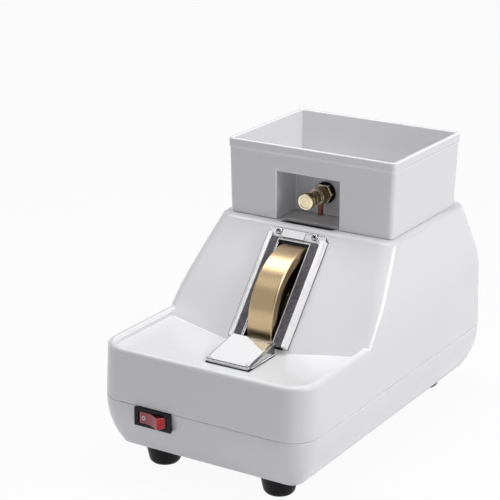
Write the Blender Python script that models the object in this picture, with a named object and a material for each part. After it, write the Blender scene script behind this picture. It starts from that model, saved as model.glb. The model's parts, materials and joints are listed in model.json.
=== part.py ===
"""Hand lens edger: a bench machine with a water-fed grinding wheel behind a clear guard.

Metres, +Z up. The origin is on the table under the middle of the housing, and -Y is the front, where the
operator sits. The wheel, its spindle and the motor turn about X. The belt drive and the parts inside are laid
out as such machines have them, because nothing inside shows from outside.
"""

import math

import bmesh
import bpy
from mathutils import Matrix, Vector

# Housing
BODY_WIDTH = 0.174
BODY_SHIFT = 0.0023
REAR_ROOM = 0.020
FOOT_HEIGHT = 0.018
SEAM_HEIGHT = 0.037
PLAN_RADIUS = 0.021
BASE_INSET = 0.0125
WALL = 0.0025
DRAFT = 0.0013
SIDE_LEAN = 0.0095
REAR_LEAN = 0.018
LEAN_START_RISE = 0.0107
LEAN_SOFT_SHARE = 0.2
TOP_ROUND = 0.003
RIM_ROUND = 0.003
GAP = 0.0003
OVERRUN = 0.002
MERGE_DISTANCE = 0.000002

# Tray in front and sloping face
RIM_WIDTH = 0.0065
TRAY_CORNER_RADIUS = 0.014
TRAY_SIDE_DROP = 0.0053
TRAY_CENTRE_DROP = 0.0133
TRAY_FLAT_WIDTH = 0.038
TRAY_FLARE = 0.0015
SLOPE_ANGLE = math.radians(48.9)
SLOPE_TOP_BEHIND_AXIS = 0.0121
SLOPE_FOOT_RADIUS = 0.006
SLOPE_TOP_RADIUS = 0.014

# Grinding wheel and its opening
WHEEL_RADIUS = 0.0517
WHEEL_WIDTH = 0.0208
WHEEL_DEPTH_PLACE = 0.1359
RIM_UNDER_AXIS = 0.0005
TOP_OVER_WHEEL = 0.0098
WHEEL_RIM_THICKNESS = 0.0075
WHEEL_WEB = 0.009
WHEEL_CHAMFER = 0.0008
WHEEL_CLEARANCE = 0.0018
FLANGE_RADIUS = 0.019
FLANGE_THICKNESS = 0.004
SPINDLE_RADIUS = 0.006
NUT_FLATS = 0.019
NUT_THICKNESS = 0.006
WINDOW_WIDTH = 0.040
WINDOW_LOW = -0.0075
WINDOW_TOP_INSET = 0.0074

# Splash guard, its places up the slope measured from the slope's foot or, as insets, down from its own top
GUARD_WIDTH = 0.049
GUARD_LOW = -0.007
GUARD_TOP_GAP = 0.0051
GUARD_HEIGHT = 0.006
GUARD_PLATE = 0.003
GUARD_CORNER_RADIUS = 0.0025
GUARD_SLOT_WIDTH = 0.0264
GUARD_SLOT_TOP_INSET = 0.0094
GUARD_SCREW_SPACING = 0.0305
GUARD_SCREW_INSET = 0.0030
GUARD_LABEL_WIDTH = 0.0188
GUARD_LABEL_HEIGHT = 0.0062
GUARD_LABEL_INSET = 0.0039
GUARD_LABEL_SHIFT = -0.0024
LABEL_THICKNESS = 0.0003
SMALL_SCREW_RADIUS = 0.0014
SMALL_HEAD_RADIUS = 0.0024
SMALL_HEAD_HEIGHT = 0.0012
SMALL_SCREW_LENGTH = 0.009

# Front rest, a clear wedge at the foot of the slope
REST_WIDTH = 0.0356
REST_LENGTH = 0.0365
REST_WHEEL_GAP = 0.0072
REST_FRONT_RISE = 0.0027
REST_BACK_RISE = 0.0104
REST_WALL = 0.002
STRIP_THICKNESS = 0.0007
STRIP_LEDGE = 0.0006
REST_SCREW_INSET = 0.0022
REST_SCREW_RADIUS = 0.0009
REST_SCREW_HEAD = 0.0016
REST_SCREW_HEAD_HEIGHT = 0.0009
REST_SCREW_LENGTH = 0.005
REST_LABEL_MARGIN = 0.001
REST_LABEL_CUT_ACROSS_SHARE = 0.52
REST_LABEL_CUT_ALONG_SHARE = 0.55

# Water tank
TANK_SIDE_INSET = 0.016
TANK_HEIGHT = 0.0587
TANK_SETBACK = 0.0068
TANK_REAR_INSET = 0.033
TANK_DRAFT = 0.0013
TANK_RADIUS = 0.0035
TANK_WALL = 0.0025
TANK_LIP = 0.0005
TANK_LIP_HEIGHT = 0.0065
RECESS_WIDTH = 0.054
RECESS_SHIFT = -0.0015
RECESS_DEPTH = 0.0312
RECESS_HEIGHT = 0.038
TANK_SCREW_INSET = 0.012
DRIP_OPENING_WIDTH = 0.046
DRIP_OPENING_DEPTH = 0.010
DRIP_OPENING_RADIUS = 0.003
DRIP_OPENING_SETBACK = 0.0008

# Drip valve
VALVE_PLACE_X = -0.002
VALVE_HEIGHT_PLACE = 0.0182
KNOB_RADIUS = 0.0064
KNOB_LENGTH = 0.006
KNOB_REACH = 0.0018
VALVE_NECK_RADIUS = 0.0038
VALVE_BARREL_RADIUS = 0.0052
VALVE_COLLAR_RADIUS = 0.0064
VALVE_COLLAR_LENGTH = 0.0094
VALVE_THREAD_RADIUS = 0.0043
VALVE_NECK_LENGTH = 0.0035
VALVE_NECK_GAP = 0.0010
VALVE_BORE_DEPTH = 0.012
LOCKNUT_FLATS = 0.014
LOCKNUT_THICKNESS = 0.0032
INNER_NUT_FLATS = 0.013
INNER_NUT_THICKNESS = 0.004
WASHER_RADIUS = 0.0086
WASHER_THICKNESS = 0.0022
STEM_RADIUS = 0.0019
SPOUT_RADIUS = 0.0020
SPOUT_BORE = 0.0012
SPOUT_LENGTH = 0.0095

# Switch
SWITCH_SIDE_INSET = 0.05115
SWITCH_WIDTH = 0.031
SWITCH_HEIGHT = 0.014
SWITCH_FRAME = 0.0017
SWITCH_BODY_WIDTH = 0.0285
SWITCH_BODY_HEIGHT = 0.0122
SWITCH_BODY_DEPTH = 0.016
ROCKER_WIDTH = 0.0222
ROCKER_HEIGHT = 0.0085
ROCKER_RIDGE_PLACE = 0.0082
ROCKER_RIDGE = 0.0045
ROCKER_VALLEY = 0.0019
ROCKER_POCKET_DEPTH = 0.0085
ROCKER_THROW = math.radians(26)
TAB_WIDTH = 0.0048
TAB_LENGTH = 0.007
TAB_THICKNESS = 0.0008

# Feet
FOOT_SIDE_INSET = 0.0383
FOOT_END_INSET = 0.0332
FOOT_TOP_RADIUS = 0.0146
FOOT_BASE_RADIUS = 0.0114
FOOT_EDGE_ROUND = 0.0026
FOOT_SCREW_RADIUS = 0.002
FOOT_HEAD_RADIUS = 0.004
FOOT_HEAD_HEIGHT = 0.0026
FOOT_SCREW_LENGTH = 0.015
FOOT_COUNTERBORE = 0.009

# Screw posts between the shells
POST_SIDE_INSET = 0.021
POST_FRONT_INSET = 0.030
POST_REAR_INSET = 0.029
POST_RADIUS = 0.0045
POST_SCREW_RADIUS = 0.0016
POST_HEAD_RADIUS = 0.003
POST_HEAD_HEIGHT = 0.0022
POST_COUNTERBORE_DEPTH = 0.012
POST_SCREW_GRIP = 0.012

# Splash chamber
CHAMBER_WIDTH = 0.044
CHAMBER_WALL = 0.0022
CHAMBER_CLEARANCE = 0.006
CHAMBER_TOP_GAP = 0.0006
CHAMBER_RISE = 0.0084
DRAIN_RADIUS = 0.0065
DRAIN_BORE = 0.0045
DRAIN_REACH = 0.009
DRAIN_FLANGE_RADIUS = 0.010
DRAIN_FLANGE_THICKNESS = 0.002

# Spindle on the left of the wheel
SEAL_RADIUS = 0.011
SEAL_THICKNESS = 0.0035
HOUSING_NEAR = 0.0265
HOUSING_PULLEY_GAP = 0.003
HOUSING_RADIUS = 0.0185
BEARING_RADIUS = 0.014
BEARING_THICKNESS = 0.008
HOUSING_FOOT_WIDTH = 0.030
HOUSING_FOOT_DEPTH = 0.052
HOUSING_FOOT_THICKNESS = 0.006
HOUSING_PEDESTAL_DEPTH = 0.020
SHAFT_CLEARANCE = 0.0004

# Belt drive
PULLEY_SIDE_INSET = 0.0175
PULLEY_WIDTH = 0.012
PULLEY_FLANGE = 0.0015
PULLEY_FLANGE_RISE = 0.0022
SPINDLE_PULLEY_RADIUS = 0.015
MOTOR_PULLEY_RADIUS = 0.018
BELT_THICKNESS = 0.0018
BELT_WIDTH = 0.0082

# Motor
MOTOR_CHAMBER_GAP = 0.0042
MOTOR_RISE = 0.0105
MOTOR_RADIUS = 0.040
STATOR_BORE = 0.024
STATOR_LENGTH = 0.052
END_COVER_LENGTH = 0.019
END_COVER_WALL = 0.003
ROTOR_RADIUS = 0.0235
ROTOR_LENGTH = 0.056
MOTOR_SHAFT_RADIUS = 0.005
FAN_RADIUS = 0.030
FAN_HUB_RADIUS = 0.008
FAN_WIDTH = 0.010
FAN_BLADE = 0.0012
FAN_BACKPLATE = 0.0016
FAN_BLADES = 7
VENTS = 6
VENT_WIDTH = 0.008
VENT_INNER = 0.015
VENT_OUTER = 0.029
CRADLE_WIDTH = 0.040
CRADLE_DEPTH = 0.060
CRADLE_WRAP_SHARE = 0.45
PLATE_THICKNESS = 0.002
PLATE_RISE = 0.005
PLATE_SIDE_INSET = 0.027
PLATE_FRONT_REACH = 0.0359
PLATE_REAR_INSET = 0.022
PLATE_POST_RADIUS = 0.004
PLATE_POST_INSET = 0.020

# Electrical pieces
CAPACITOR_RADIUS = 0.015
CAPACITOR_LENGTH = 0.050
CAPACITOR_SIDE_INSET = 0.047
CAPACITOR_PLACE_Y = 0.060
TERMINAL_WIDTH = 0.036
TERMINAL_DEPTH = 0.016
TERMINAL_HEIGHT = 0.014
TERMINAL_PLACE_Y = 0.034
TERMINAL_WAYS = 4
TERMINAL_WELL_RADIUS = 0.0028
TERMINAL_WELL_DEPTH = 0.005
INLET_WIDTH = 0.031
INLET_HEIGHT = 0.024
INLET_FLANGE = 0.002
INLET_BODY_WIDTH = 0.0275
INLET_BODY_HEIGHT = 0.020
INLET_BODY_DEPTH = 0.020
INLET_SOCKET_WIDTH = 0.024
INLET_SOCKET_HEIGHT = 0.0165
INLET_SOCKET_DEPTH = 0.016
INLET_CORNER = 0.005
INLET_PIN_WIDTH = 0.002
INLET_PIN_HEIGHT = 0.004
INLET_PIN_RECESS = 0.0055
INLET_PIN_SPACING = 0.007
INLET_EARTH_RAISE = 0.004
INLET_SIDE_INSET = 0.037
INLET_PLACE_HEIGHT = 0.0225
INLET_PAD_MARGIN = 0.0015

# Ventilation slots in the underside
SLOTS = 6
SLOT_LENGTH = 0.050
SLOT_WIDTH = 0.0035
SLOT_PITCH = 0.0085
SLOT_AHEAD_OF_MOTOR = 0.035

# How finely round shapes are divided
CORNER_STEPS = 6
ROUND_STEPS = 3
LEAN_STEPS = 5
BASE_STEPS = 5
WHEEL_STEPS = 48
TURN_STEPS = 18
SMALL_STEPS = 12
SCREW_STEPS = 8

# Places worked out from the sizes above
CHAMBER_RADIUS = WHEEL_RADIUS + CHAMBER_CLEARANCE
MOTOR_BEHIND_AXIS = CHAMBER_RADIUS + CHAMBER_WALL + MOTOR_CHAMBER_GAP + MOTOR_RADIUS
BODY_DEPTH = WHEEL_DEPTH_PLACE + MOTOR_BEHIND_AXIS + MOTOR_RADIUS + REAR_ROOM
HALF_WIDTH = BODY_WIDTH / 2
MIDDLE = BODY_SHIFT
FRONT = MIDDLE - BODY_DEPTH / 2
REAR = MIDDLE + BODY_DEPTH / 2
UNDERSIDE = FOOT_HEIGHT
FLOOR_TOP = UNDERSIDE + WALL
SEAM = UNDERSIDE + SEAM_HEIGHT
PLATE_BOTTOM = FLOOR_TOP + PLATE_RISE
PLATE_TOP = PLATE_BOTTOM + PLATE_THICKNESS
WHEEL_Y = FRONT + WHEEL_DEPTH_PLACE
WHEEL_Z = PLATE_TOP + CHAMBER_RISE + CHAMBER_WALL + CHAMBER_RADIUS
RIM = WHEEL_Z - RIM_UNDER_AXIS
TOP = WHEEL_Z + WHEEL_RADIUS + TOP_OVER_WHEEL
LEAN_START = RIM + LEAN_START_RISE
TRAY_SIDE = RIM - TRAY_SIDE_DROP
TRAY_LOW = RIM - TRAY_CENTRE_DROP
SLOPE_TOP_Y = WHEEL_Y + SLOPE_TOP_BEHIND_AXIS
SLOPE_FOOT_Y = SLOPE_TOP_Y - (TOP - TRAY_SIDE) / math.tan(SLOPE_ANGLE)
SLOPE_LENGTH = (TOP - TRAY_SIDE) / math.sin(SLOPE_ANGLE)
FOOT_LEVEL = TRAY_LOW - WALL
GUARD_HIGH = SLOPE_LENGTH - GUARD_TOP_GAP
GUARD_SLOT_HIGH = GUARD_HIGH - GUARD_SLOT_TOP_INSET
GUARD_SCREW_PLACE = GUARD_HIGH - GUARD_SCREW_INSET
WINDOW_HIGH = GUARD_HIGH - WINDOW_TOP_INSET
REST_BACK_Y = WHEEL_Y - WHEEL_RADIUS - REST_WHEEL_GAP
REST_FRONT_Y = REST_BACK_Y - REST_LENGTH
MOTOR_Y = WHEEL_Y + MOTOR_BEHIND_AXIS
MOTOR_Z = PLATE_TOP + MOTOR_RISE + MOTOR_RADIUS
TANK_WIDTH = BODY_WIDTH - TANK_SIDE_INSET * 2
TANK_FOOT = TOP + GAP
TANK_TOP = TANK_FOOT + TANK_HEIGHT
TANK_FRONT_Y = SLOPE_TOP_Y + TANK_SETBACK
TANK_REAR_Y = REAR - TANK_REAR_INSET
RECESS_WALL_Y = TANK_FRONT_Y + RECESS_DEPTH
VALVE_Z = TANK_FOOT + VALVE_HEIGHT_PLACE
KNOB_FRONT_Y = TANK_FRONT_Y - KNOB_REACH
SWITCH_PLACE = SWITCH_SIDE_INSET - HALF_WIDTH
SWITCH_Z = SEAM - SWITCH_HEIGHT / 2
PULLEY_PLACE = HALF_WIDTH - PULLEY_SIDE_INSET
HOUSING_LENGTH = PULLEY_PLACE - PULLEY_WIDTH / 2 - HOUSING_PULLEY_GAP - HOUSING_NEAR
PLATE_WIDTH = BODY_WIDTH - PLATE_SIDE_INSET * 2
PLATE_FRONT_Y = WHEEL_Y - PLATE_FRONT_REACH
PLATE_REAR_Y = REAR - PLATE_REAR_INSET
CAPACITOR_PLACE_X = HALF_WIDTH - CAPACITOR_SIDE_INSET
INLET_PLACE_X = HALF_WIDTH - INLET_SIDE_INSET
INLET_PLACE_Z = UNDERSIDE + INLET_PLACE_HEIGHT

# Colour, roughness and metallic share of each finish
FINISHES = {
    "white_plastic": ((0.80, 0.80, 0.81), 0.35, 0.0),
    "clear_plastic": ((0.86, 0.90, 0.92), 0.08, 0.0),
    "brass": ((0.66, 0.50, 0.22), 0.25, 1.0),
    "wheel_bronze": ((0.56, 0.43, 0.25), 0.38, 1.0),
    "steel": ((0.56, 0.57, 0.58), 0.35, 1.0),
    "iron": ((0.09, 0.09, 0.10), 0.55, 0.6),
    "aluminium": ((0.70, 0.71, 0.72), 0.4, 1.0),
    "black_plastic": ((0.02, 0.02, 0.022), 0.4, 0.0),
    "dark_plastic": ((0.09, 0.09, 0.10), 0.5, 0.0),
    "rubber": ((0.02, 0.02, 0.022), 0.75, 0.0),
    "copper": ((0.42, 0.17, 0.10), 0.35, 1.0),
    "red_plastic": ((0.66, 0.02, 0.03), 0.15, 0.0),
    "label": ((0.88, 0.88, 0.90), 0.5, 0.0),
}


def clear_scene():
    for item in list(bpy.data.objects):
        bpy.data.objects.remove(item, do_unlink=True)


def material_for(name, finish):
    """A piece's own material, from the colour, roughness and metallic share of its finish."""
    colour, roughness, metallic = FINISHES[finish]
    made = bpy.data.materials.new(name)
    made.use_nodes = True
    shader = made.node_tree.nodes["Principled BSDF"]
    shader.inputs["Base Color"].default_value = (*colour, 1.0)
    shader.inputs["Roughness"].default_value = roughness
    shader.inputs["Metallic"].default_value = metallic
    made.diffuse_color = (*colour, 1.0)
    return made


def object_from(name, points, faces):
    mesh = bpy.data.meshes.new(name)
    mesh.from_pydata(points, [], faces)
    work = bmesh.new()
    work.from_mesh(mesh)
    bmesh.ops.recalc_face_normals(work, faces=work.faces)
    work.to_mesh(mesh)
    work.free()
    made = bpy.data.objects.new(name, mesh)
    bpy.context.collection.objects.link(made)
    return made


def loft(name, rings):
    """A closed solid through rings of equal length, capped at both ends."""
    count = len(rings[0])
    points = [point for ring in rings for point in ring]
    faces = []
    for level in range(len(rings) - 1):
        low = level * count
        high = low + count
        for i in range(count):
            j = (i + 1) % count
            faces.append((low + i, low + j, high + j, high + i))
    faces.append(tuple(range(count)))
    faces.append(tuple(range(len(points) - count, len(points))))
    return object_from(name, points, faces)


def prism(name, outline, axis, low, high):
    """An outline extruded along X, Y or Z. The outline gives the other two coordinates in X, Y, Z order."""
    rings = []
    for along in (low, high):
        ring = []
        for first, second in outline:
            point = [first, second]
            point.insert("XYZ".index(axis), along)
            ring.append(tuple(point))
        rings.append(ring)
    return loft(name, rings)


def box(name, low, high):
    outline = [(low[0], low[1]), (high[0], low[1]), (high[0], high[1]), (low[0], high[1])]
    return prism(name, outline, "Z", low[2], high[2])


def around(axis, centre, along, radius, angle):
    """A point at a radius and an angle round an axis through centre."""
    offset = [radius * math.cos(angle), radius * math.sin(angle)]
    offset.insert("XYZ".index(axis), along)
    return tuple(centre[i] + offset[i] for i in range(len(offset)))


def turned(name, axis, centre, profile, steps, is_ring=False):
    """A turned solid. The profile lists (place along the axis, radius); a ring's profile is a closed loop."""
    rings = []
    for along, radius in profile:
        rings.append([around(axis, centre, along, radius, math.tau * i / steps) for i in range(steps)])
    if not is_ring:
        return loft(name, rings)
    points = [point for ring in rings for point in ring]
    faces = []
    for level in range(len(rings)):
        low = level * steps
        high = (level + 1) % len(rings) * steps
        for i in range(steps):
            j = (i + 1) % steps
            faces.append((low + i, low + j, high + j, high + i))
    return object_from(name, points, faces)


def cylinder(name, axis, centre, start, end, radius, steps=TURN_STEPS):
    return turned(name, axis, centre, [(start, radius), (end, radius)], steps)


def tube(name, axis, centre, start, end, radius, bore, steps=TURN_STEPS):
    profile = [(start, bore), (start, radius), (end, radius), (end, bore)]
    return turned(name, axis, centre, profile, steps, is_ring=True)


def hexagon(name, axis, centre, start, end, flats):
    return cylinder(name, axis, centre, start, end, flats / math.sqrt(3), steps=6)


def combine(target, tool, operation):
    """Applies an exact Boolean to target and deletes the tool."""
    modifier = target.modifiers.new("combine", "BOOLEAN")
    modifier.operation = operation
    modifier.solver = "EXACT"
    modifier.object = tool
    bpy.context.view_layer.update()
    graph = bpy.context.evaluated_depsgraph_get()
    result = bpy.data.meshes.new_from_object(target.evaluated_get(graph))
    target.modifiers.clear()
    work = bmesh.new()
    work.from_mesh(result)
    bmesh.ops.dissolve_degenerate(work, edges=work.edges, dist=MERGE_DISTANCE)
    work.to_mesh(result)
    work.free()
    target.data = result
    bpy.data.objects.remove(tool, do_unlink=True)
    return target


def cut(target, *tools):
    for tool in tools:
        combine(target, tool, "DIFFERENCE")
    return target


def join(target, *tools):
    for tool in tools:
        combine(target, tool, "UNION")
    return target


def piece(target, finish, origin, smooth_angle=math.radians(32), parent=None):
    """Gives a solid its finish, moves its origin to where it is held and parents it."""
    place = Vector(origin)
    target.data.transform(Matrix.Translation(-place))
    target.location = place
    target.data.materials.clear()
    target.data.materials.append(material_for(target.name, finish))
    target.data.shade_smooth()
    target.data.set_sharp_from_angle(angle=smooth_angle)
    if parent is not None:
        target.parent = parent
        target.matrix_parent_inverse = Matrix.Translation(-parent.location)
    return target


def axis_empty(name, place):
    made = bpy.data.objects.new(name, None)
    made.location = place
    bpy.context.collection.objects.link(made)
    return made


def plan_ring(half, front, rear, front_radius, rear_radius, height, shift=0.0):
    """A level rounded rectangle with its own radius at the front and at the rear corners."""
    corners = (
        (half - front_radius, front + front_radius, front_radius, -math.pi / 2),
        (half - rear_radius, rear - rear_radius, rear_radius, 0.0),
        (rear_radius - half, rear - rear_radius, rear_radius, math.pi / 2),
        (front_radius - half, front + front_radius, front_radius, math.pi),
    )
    ring = []
    for x, y, radius, start in corners:
        for i in range(CORNER_STEPS + 1):
            angle = start + math.pi / 2 * i / CORNER_STEPS
            ring.append((shift + x + radius * math.cos(angle), y + radius * math.sin(angle), height))
    return ring


def draft_share(height):
    return min(1.0, (height - SEAM) / (LEAN_START - SEAM))


def lean_share(height):
    """Goes softly from 0 at the start of the lean to 1 at the flat top."""
    share = max(0.0, (height - LEAN_START) / (TOP - LEAN_START))
    soft = LEAN_SOFT_SHARE
    return (math.hypot(share, soft) - soft) / (math.hypot(1.0, soft) - soft)


def side_at(height):
    return HALF_WIDTH - DRAFT * draft_share(height) - SIDE_LEAN * lean_share(height)


def rear_at(height):
    return REAR - DRAFT * draft_share(height) - REAR_LEAN * lean_share(height)


def slope_at(height):
    return SLOPE_TOP_Y - (TOP - height) / math.tan(SLOPE_ANGLE)


def on_slope(x, up, out):
    """A point in the slope's own directions: across, up the face and out from it."""
    y = SLOPE_FOOT_Y + up * math.cos(SLOPE_ANGLE) - out * math.sin(SLOPE_ANGLE)
    z = TRAY_SIDE + up * math.sin(SLOPE_ANGLE) + out * math.cos(SLOPE_ANGLE)
    return (x, y, z)


def slope_prism(name, outline, out_low, out_high):
    """A solid square to the slope, its outline given across and up the face."""
    low = [on_slope(x, up, out_low) for x, up in outline]
    high = [on_slope(x, up, out_high) for x, up in outline]
    return loft(name, [low, high])


def slope_box(name, half, up_low, up_high, out_low, out_high):
    outline = [(-half, up_low), (half, up_low), (half, up_high), (-half, up_high)]
    return slope_prism(name, outline, out_low, out_high)


def slope_cylinder(name, x, up, out_low, out_high, radius, steps=SMALL_STEPS):
    rings = []
    for out in (out_low, out_high):
        ring = []
        for i in range(steps):
            angle = math.tau * i / steps
            ring.append(on_slope(x + radius * math.cos(angle), up + radius * math.sin(angle), out))
        rings.append(ring)
    return loft(name, rings)


def slope_screw(name, x, up, seat, radius, head_radius, head_height, length):
    """A pan-head screw standing square to the slope, its head resting on the level called seat."""
    profile = [(seat - length, radius), (seat, radius), (seat, head_radius), (seat + head_height, head_radius)]
    rings = []
    for out, size in profile:
        ring = []
        for i in range(SCREW_STEPS):
            angle = math.tau * i / SCREW_STEPS
            ring.append(on_slope(x + size * math.cos(angle), up + size * math.sin(angle), out))
        rings.append(ring)
    return loft(name, rings)


def base_levels():
    """Levels that the front block and the tower share, so that their side walls lie in one plane."""
    return [SEAM + GAP / 2, FOOT_LEVEL, RIM - RIM_ROUND]


def front_block(inset=0.0, below=0.0):
    """The low block under the tray, the full plan of the housing. An inset makes its inner space."""
    rings = []
    radius = PLAN_RADIUS - inset
    for index, height in enumerate(base_levels()):
        level = height - below if index == 0 else height
        half = side_at(height) - inset
        rear = rear_at(height) - inset
        rings.append(plan_ring(half, FRONT + HALF_WIDTH - half, rear, radius, radius, level))
    if inset:
        return rings
    for i in range(1, ROUND_STEPS + 1):
        angle = math.pi / 2 * i / ROUND_STEPS
        level = RIM - RIM_ROUND + RIM_ROUND * math.sin(angle)
        pull = RIM_ROUND * (1 - math.cos(angle))
        half = side_at(RIM - RIM_ROUND) - pull
        front = FRONT + HALF_WIDTH - side_at(RIM - RIM_ROUND) + pull
        rings.append(plan_ring(half, front, rear_at(RIM - RIM_ROUND) - pull, radius - pull, radius - pull, level))
    return rings


def tower_front(height, inset, top):
    """Where the sloping face lies at a height, rounded over into the flat top."""
    shift = inset / math.sin(SLOPE_ANGLE) if inset else 0.0
    crown = top - TOP_ROUND
    turn = crown + TOP_ROUND * math.cos(SLOPE_ANGLE)
    edge = slope_at(top) + shift
    if height <= turn:
        return slope_at(height) + shift
    centre = edge + TOP_ROUND * math.tan(SLOPE_ANGLE / 2)
    return centre - math.sqrt(max(0.0, TOP_ROUND ** 2 - (height - crown) ** 2))


def tower(inset=0.0, below=0.0):
    """The tall rear part: leaning sides and back, and the slope in front."""
    rings = []
    top = TOP - inset
    levels = base_levels() + [
        LEAN_START + (top - TOP_ROUND - LEAN_START) * i / LEAN_STEPS for i in range(LEAN_STEPS + 1)
    ]
    for index, height in enumerate(levels):
        share = max(0.0, (height - RIM) / (TOP - RIM))
        radius = SLOPE_FOOT_RADIUS + (SLOPE_TOP_RADIUS - SLOPE_FOOT_RADIUS) * share - inset
        level = height - below if index == 0 else height
        front = tower_front(max(height, FOOT_LEVEL), inset, top)
        rings.append(
            plan_ring(side_at(height) - inset, front, rear_at(height) - inset, radius, PLAN_RADIUS - inset, level)
        )
    crown = top - TOP_ROUND
    side = side_at(crown) - inset
    rear = rear_at(crown) - inset
    radius = SLOPE_TOP_RADIUS - inset
    for i in range(1, ROUND_STEPS + 1):
        angle = math.pi / 2 * i / ROUND_STEPS
        pull = TOP_ROUND * (1 - math.cos(angle))
        level = crown + TOP_ROUND * math.sin(angle)
        rings.append(
            plan_ring(side - pull, tower_front(level, inset, top), rear - pull, radius - pull / 2,
                      PLAN_RADIUS - inset - pull, level)
        )
    return rings


def tray_floor_outline(half, drop, top):
    """Front view of the tray's hollow: a flat middle that rises to both sides."""
    flat = TRAY_FLAT_WIDTH / 2
    inner = HALF_WIDTH - RIM_WIDTH
    rise = (TRAY_SIDE - TRAY_LOW) / (inner - flat)
    edge = TRAY_LOW + rise * (half - flat) - drop
    low = TRAY_LOW - drop
    return [(-half, top), (-half, edge), (-flat, low), (flat, low), (half, edge), (half, top)]


def tray_hollow():
    """The tray cut into the front block: rounded corners in plan, over the sloping floor."""
    half = side_at(RIM) - RIM_WIDTH
    front = FRONT + RIM_WIDTH + DRAFT
    back = SLOPE_FOOT_Y + PLAN_RADIUS
    rings = []
    flares = [(FOOT_LEVEL, 0.0), (RIM - TRAY_FLARE, 0.0), (RIM, TRAY_FLARE), (RIM + OVERRUN, TRAY_FLARE * 2)]
    for level, flare in flares:
        rings.append(
            plan_ring(half + flare, front - flare, back, TRAY_CORNER_RADIUS + flare, SLOPE_FOOT_RADIUS, level)
        )
    hollow = loft("tray_hollow", rings)
    keep = prism("tray_floor_block", tray_below_floor(), "Y", FRONT - OVERRUN, back + OVERRUN)
    return cut(hollow, keep)


def tray_below_floor():
    outline = tray_floor_outline(HALF_WIDTH + OVERRUN, 0.0, TRAY_LOW)
    floor = outline[1:-1]
    low = FOOT_LEVEL - OVERRUN
    return [(-HALF_WIDTH - OVERRUN, low)] + floor + [(HALF_WIDTH + OVERRUN, low)]


def window_tools():
    """Cutters for the wheel's window: a slot square to the slope and a round clearance for the wheel."""
    reach = WALL * 3
    window = slope_box("window", WINDOW_WIDTH / 2, WINDOW_LOW, WINDOW_HIGH, -reach, reach)
    clearance = cylinder("wheel_clearance", "X", (0.0, WHEEL_Y, WHEEL_Z), -GUARD_SLOT_WIDTH / 2,
                         GUARD_SLOT_WIDTH / 2, WHEEL_RADIUS + WHEEL_CLEARANCE, WHEEL_STEPS)
    return window, clearance


def drip_opening():
    """The opening in the flat top, under the notch of the tank, where water drips onto the wheel."""
    front = TANK_FRONT_Y - DRIP_OPENING_SETBACK
    rings = []
    for level in (TOP - WALL - OVERRUN, TOP + OVERRUN):
        rings.append(plan_ring(DRIP_OPENING_WIDTH / 2, front, front + DRIP_OPENING_DEPTH, DRIP_OPENING_RADIUS,
                               DRIP_OPENING_RADIUS, level, RECESS_SHIFT))
    return loft("drip_opening", rings)


def post_places():
    half = HALF_WIDTH - POST_SIDE_INSET
    front = FRONT + POST_FRONT_INSET
    rear = REAR - POST_REAR_INSET
    return {
        "front_left": (-half, front),
        "front_right": (half, front),
        "rear_left": (-half, rear),
        "rear_right": (half, rear),
    }


def tray_underside(x):
    flat = TRAY_FLAT_WIDTH / 2
    inner = HALF_WIDTH - RIM_WIDTH
    return TRAY_LOW + (TRAY_SIDE - TRAY_LOW) * (abs(x) - flat) / (inner - flat) - WALL


def upper_shell():
    outer = cut(loft("upper_shell", front_block()), tray_hollow())
    join(outer, loft("tower", tower()))
    inner = loft("inner", front_block(WALL, OVERRUN))
    under_tray = tray_floor_outline(HALF_WIDTH + OVERRUN, WALL, TOP)
    roof = prism("under_tray", under_tray, "Y", FRONT - OVERRUN, REAR + OVERRUN)
    cut(inner, roof)
    join(inner, loft("inner_tower", tower(WALL, OVERRUN)))
    cut(outer, inner, *window_tools(), drip_opening())
    for name, (x, y) in post_places().items():
        ceiling = tray_underside(x) if y < 0 else TOP - WALL
        join(outer, cylinder(name, "Z", (x, y, 0.0), SEAM + GAP / 2, ceiling + WALL / 2, POST_RADIUS,
                             SMALL_STEPS))
        cut(outer, cylinder("pilot", "Z", (x, y, 0.0), SEAM - OVERRUN, SEAM + POST_SCREW_GRIP + OVERRUN,
                            POST_SCREW_RADIUS + GAP, SMALL_STEPS))
    for side in (-1, 1):
        x = side * GUARD_SCREW_SPACING / 2
        cut(outer, slope_cylinder("guard_hole", x, GUARD_SCREW_PLACE, -WALL - OVERRUN, OVERRUN,
                                  SMALL_SCREW_RADIUS + GAP))
        for tool in rest_hole(side), tank_hole(side, TOP):
            cut(outer, tool)
    return piece(outer, "white_plastic", (0.0, 0.0, SEAM))


def rest_screw_place(side):
    half = REST_WIDTH / 2
    return (side * (half - REST_SCREW_INSET), REST_FRONT_Y + REST_SCREW_INSET)


def rest_hole(side):
    x, y = rest_screw_place(side)
    return cylinder("rest_hole", "Z", (x, y, 0.0), TRAY_LOW - WALL - OVERRUN, TRAY_LOW + OVERRUN,
                    REST_SCREW_RADIUS + GAP, SMALL_STEPS)


def tank_screw_place(side):
    return (side * (TANK_WIDTH / 2 - TANK_SCREW_INSET), TANK_REAR_Y - TANK_SCREW_INSET)


def tank_hole(side, level):
    x, y = tank_screw_place(side)
    return cylinder("tank_hole", "Z", (x, y, 0.0), level - WALL - OVERRUN, level + TANK_WALL + OVERRUN,
                    SMALL_SCREW_RADIUS + GAP, SMALL_STEPS)


def base_inset(depth):
    """How far the lower shell's wall has curved inwards at a depth under the seam: an arc, plumb at the seam."""
    radius = (SEAM_HEIGHT ** 2 + BASE_INSET ** 2) / (2 * BASE_INSET)
    return radius - math.sqrt(radius ** 2 - depth ** 2)


def tub(inset, top, bottom):
    rings = []
    for i in range(BASE_STEPS + 1):
        height = top + (bottom - top) * i / BASE_STEPS
        pull = inset + base_inset(min(SEAM_HEIGHT, max(0.0, SEAM - height)))
        rings.append(plan_ring(HALF_WIDTH - pull, FRONT + pull, REAR - pull, PLAN_RADIUS - pull,
                               PLAN_RADIUS - pull, height))
    return rings


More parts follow.
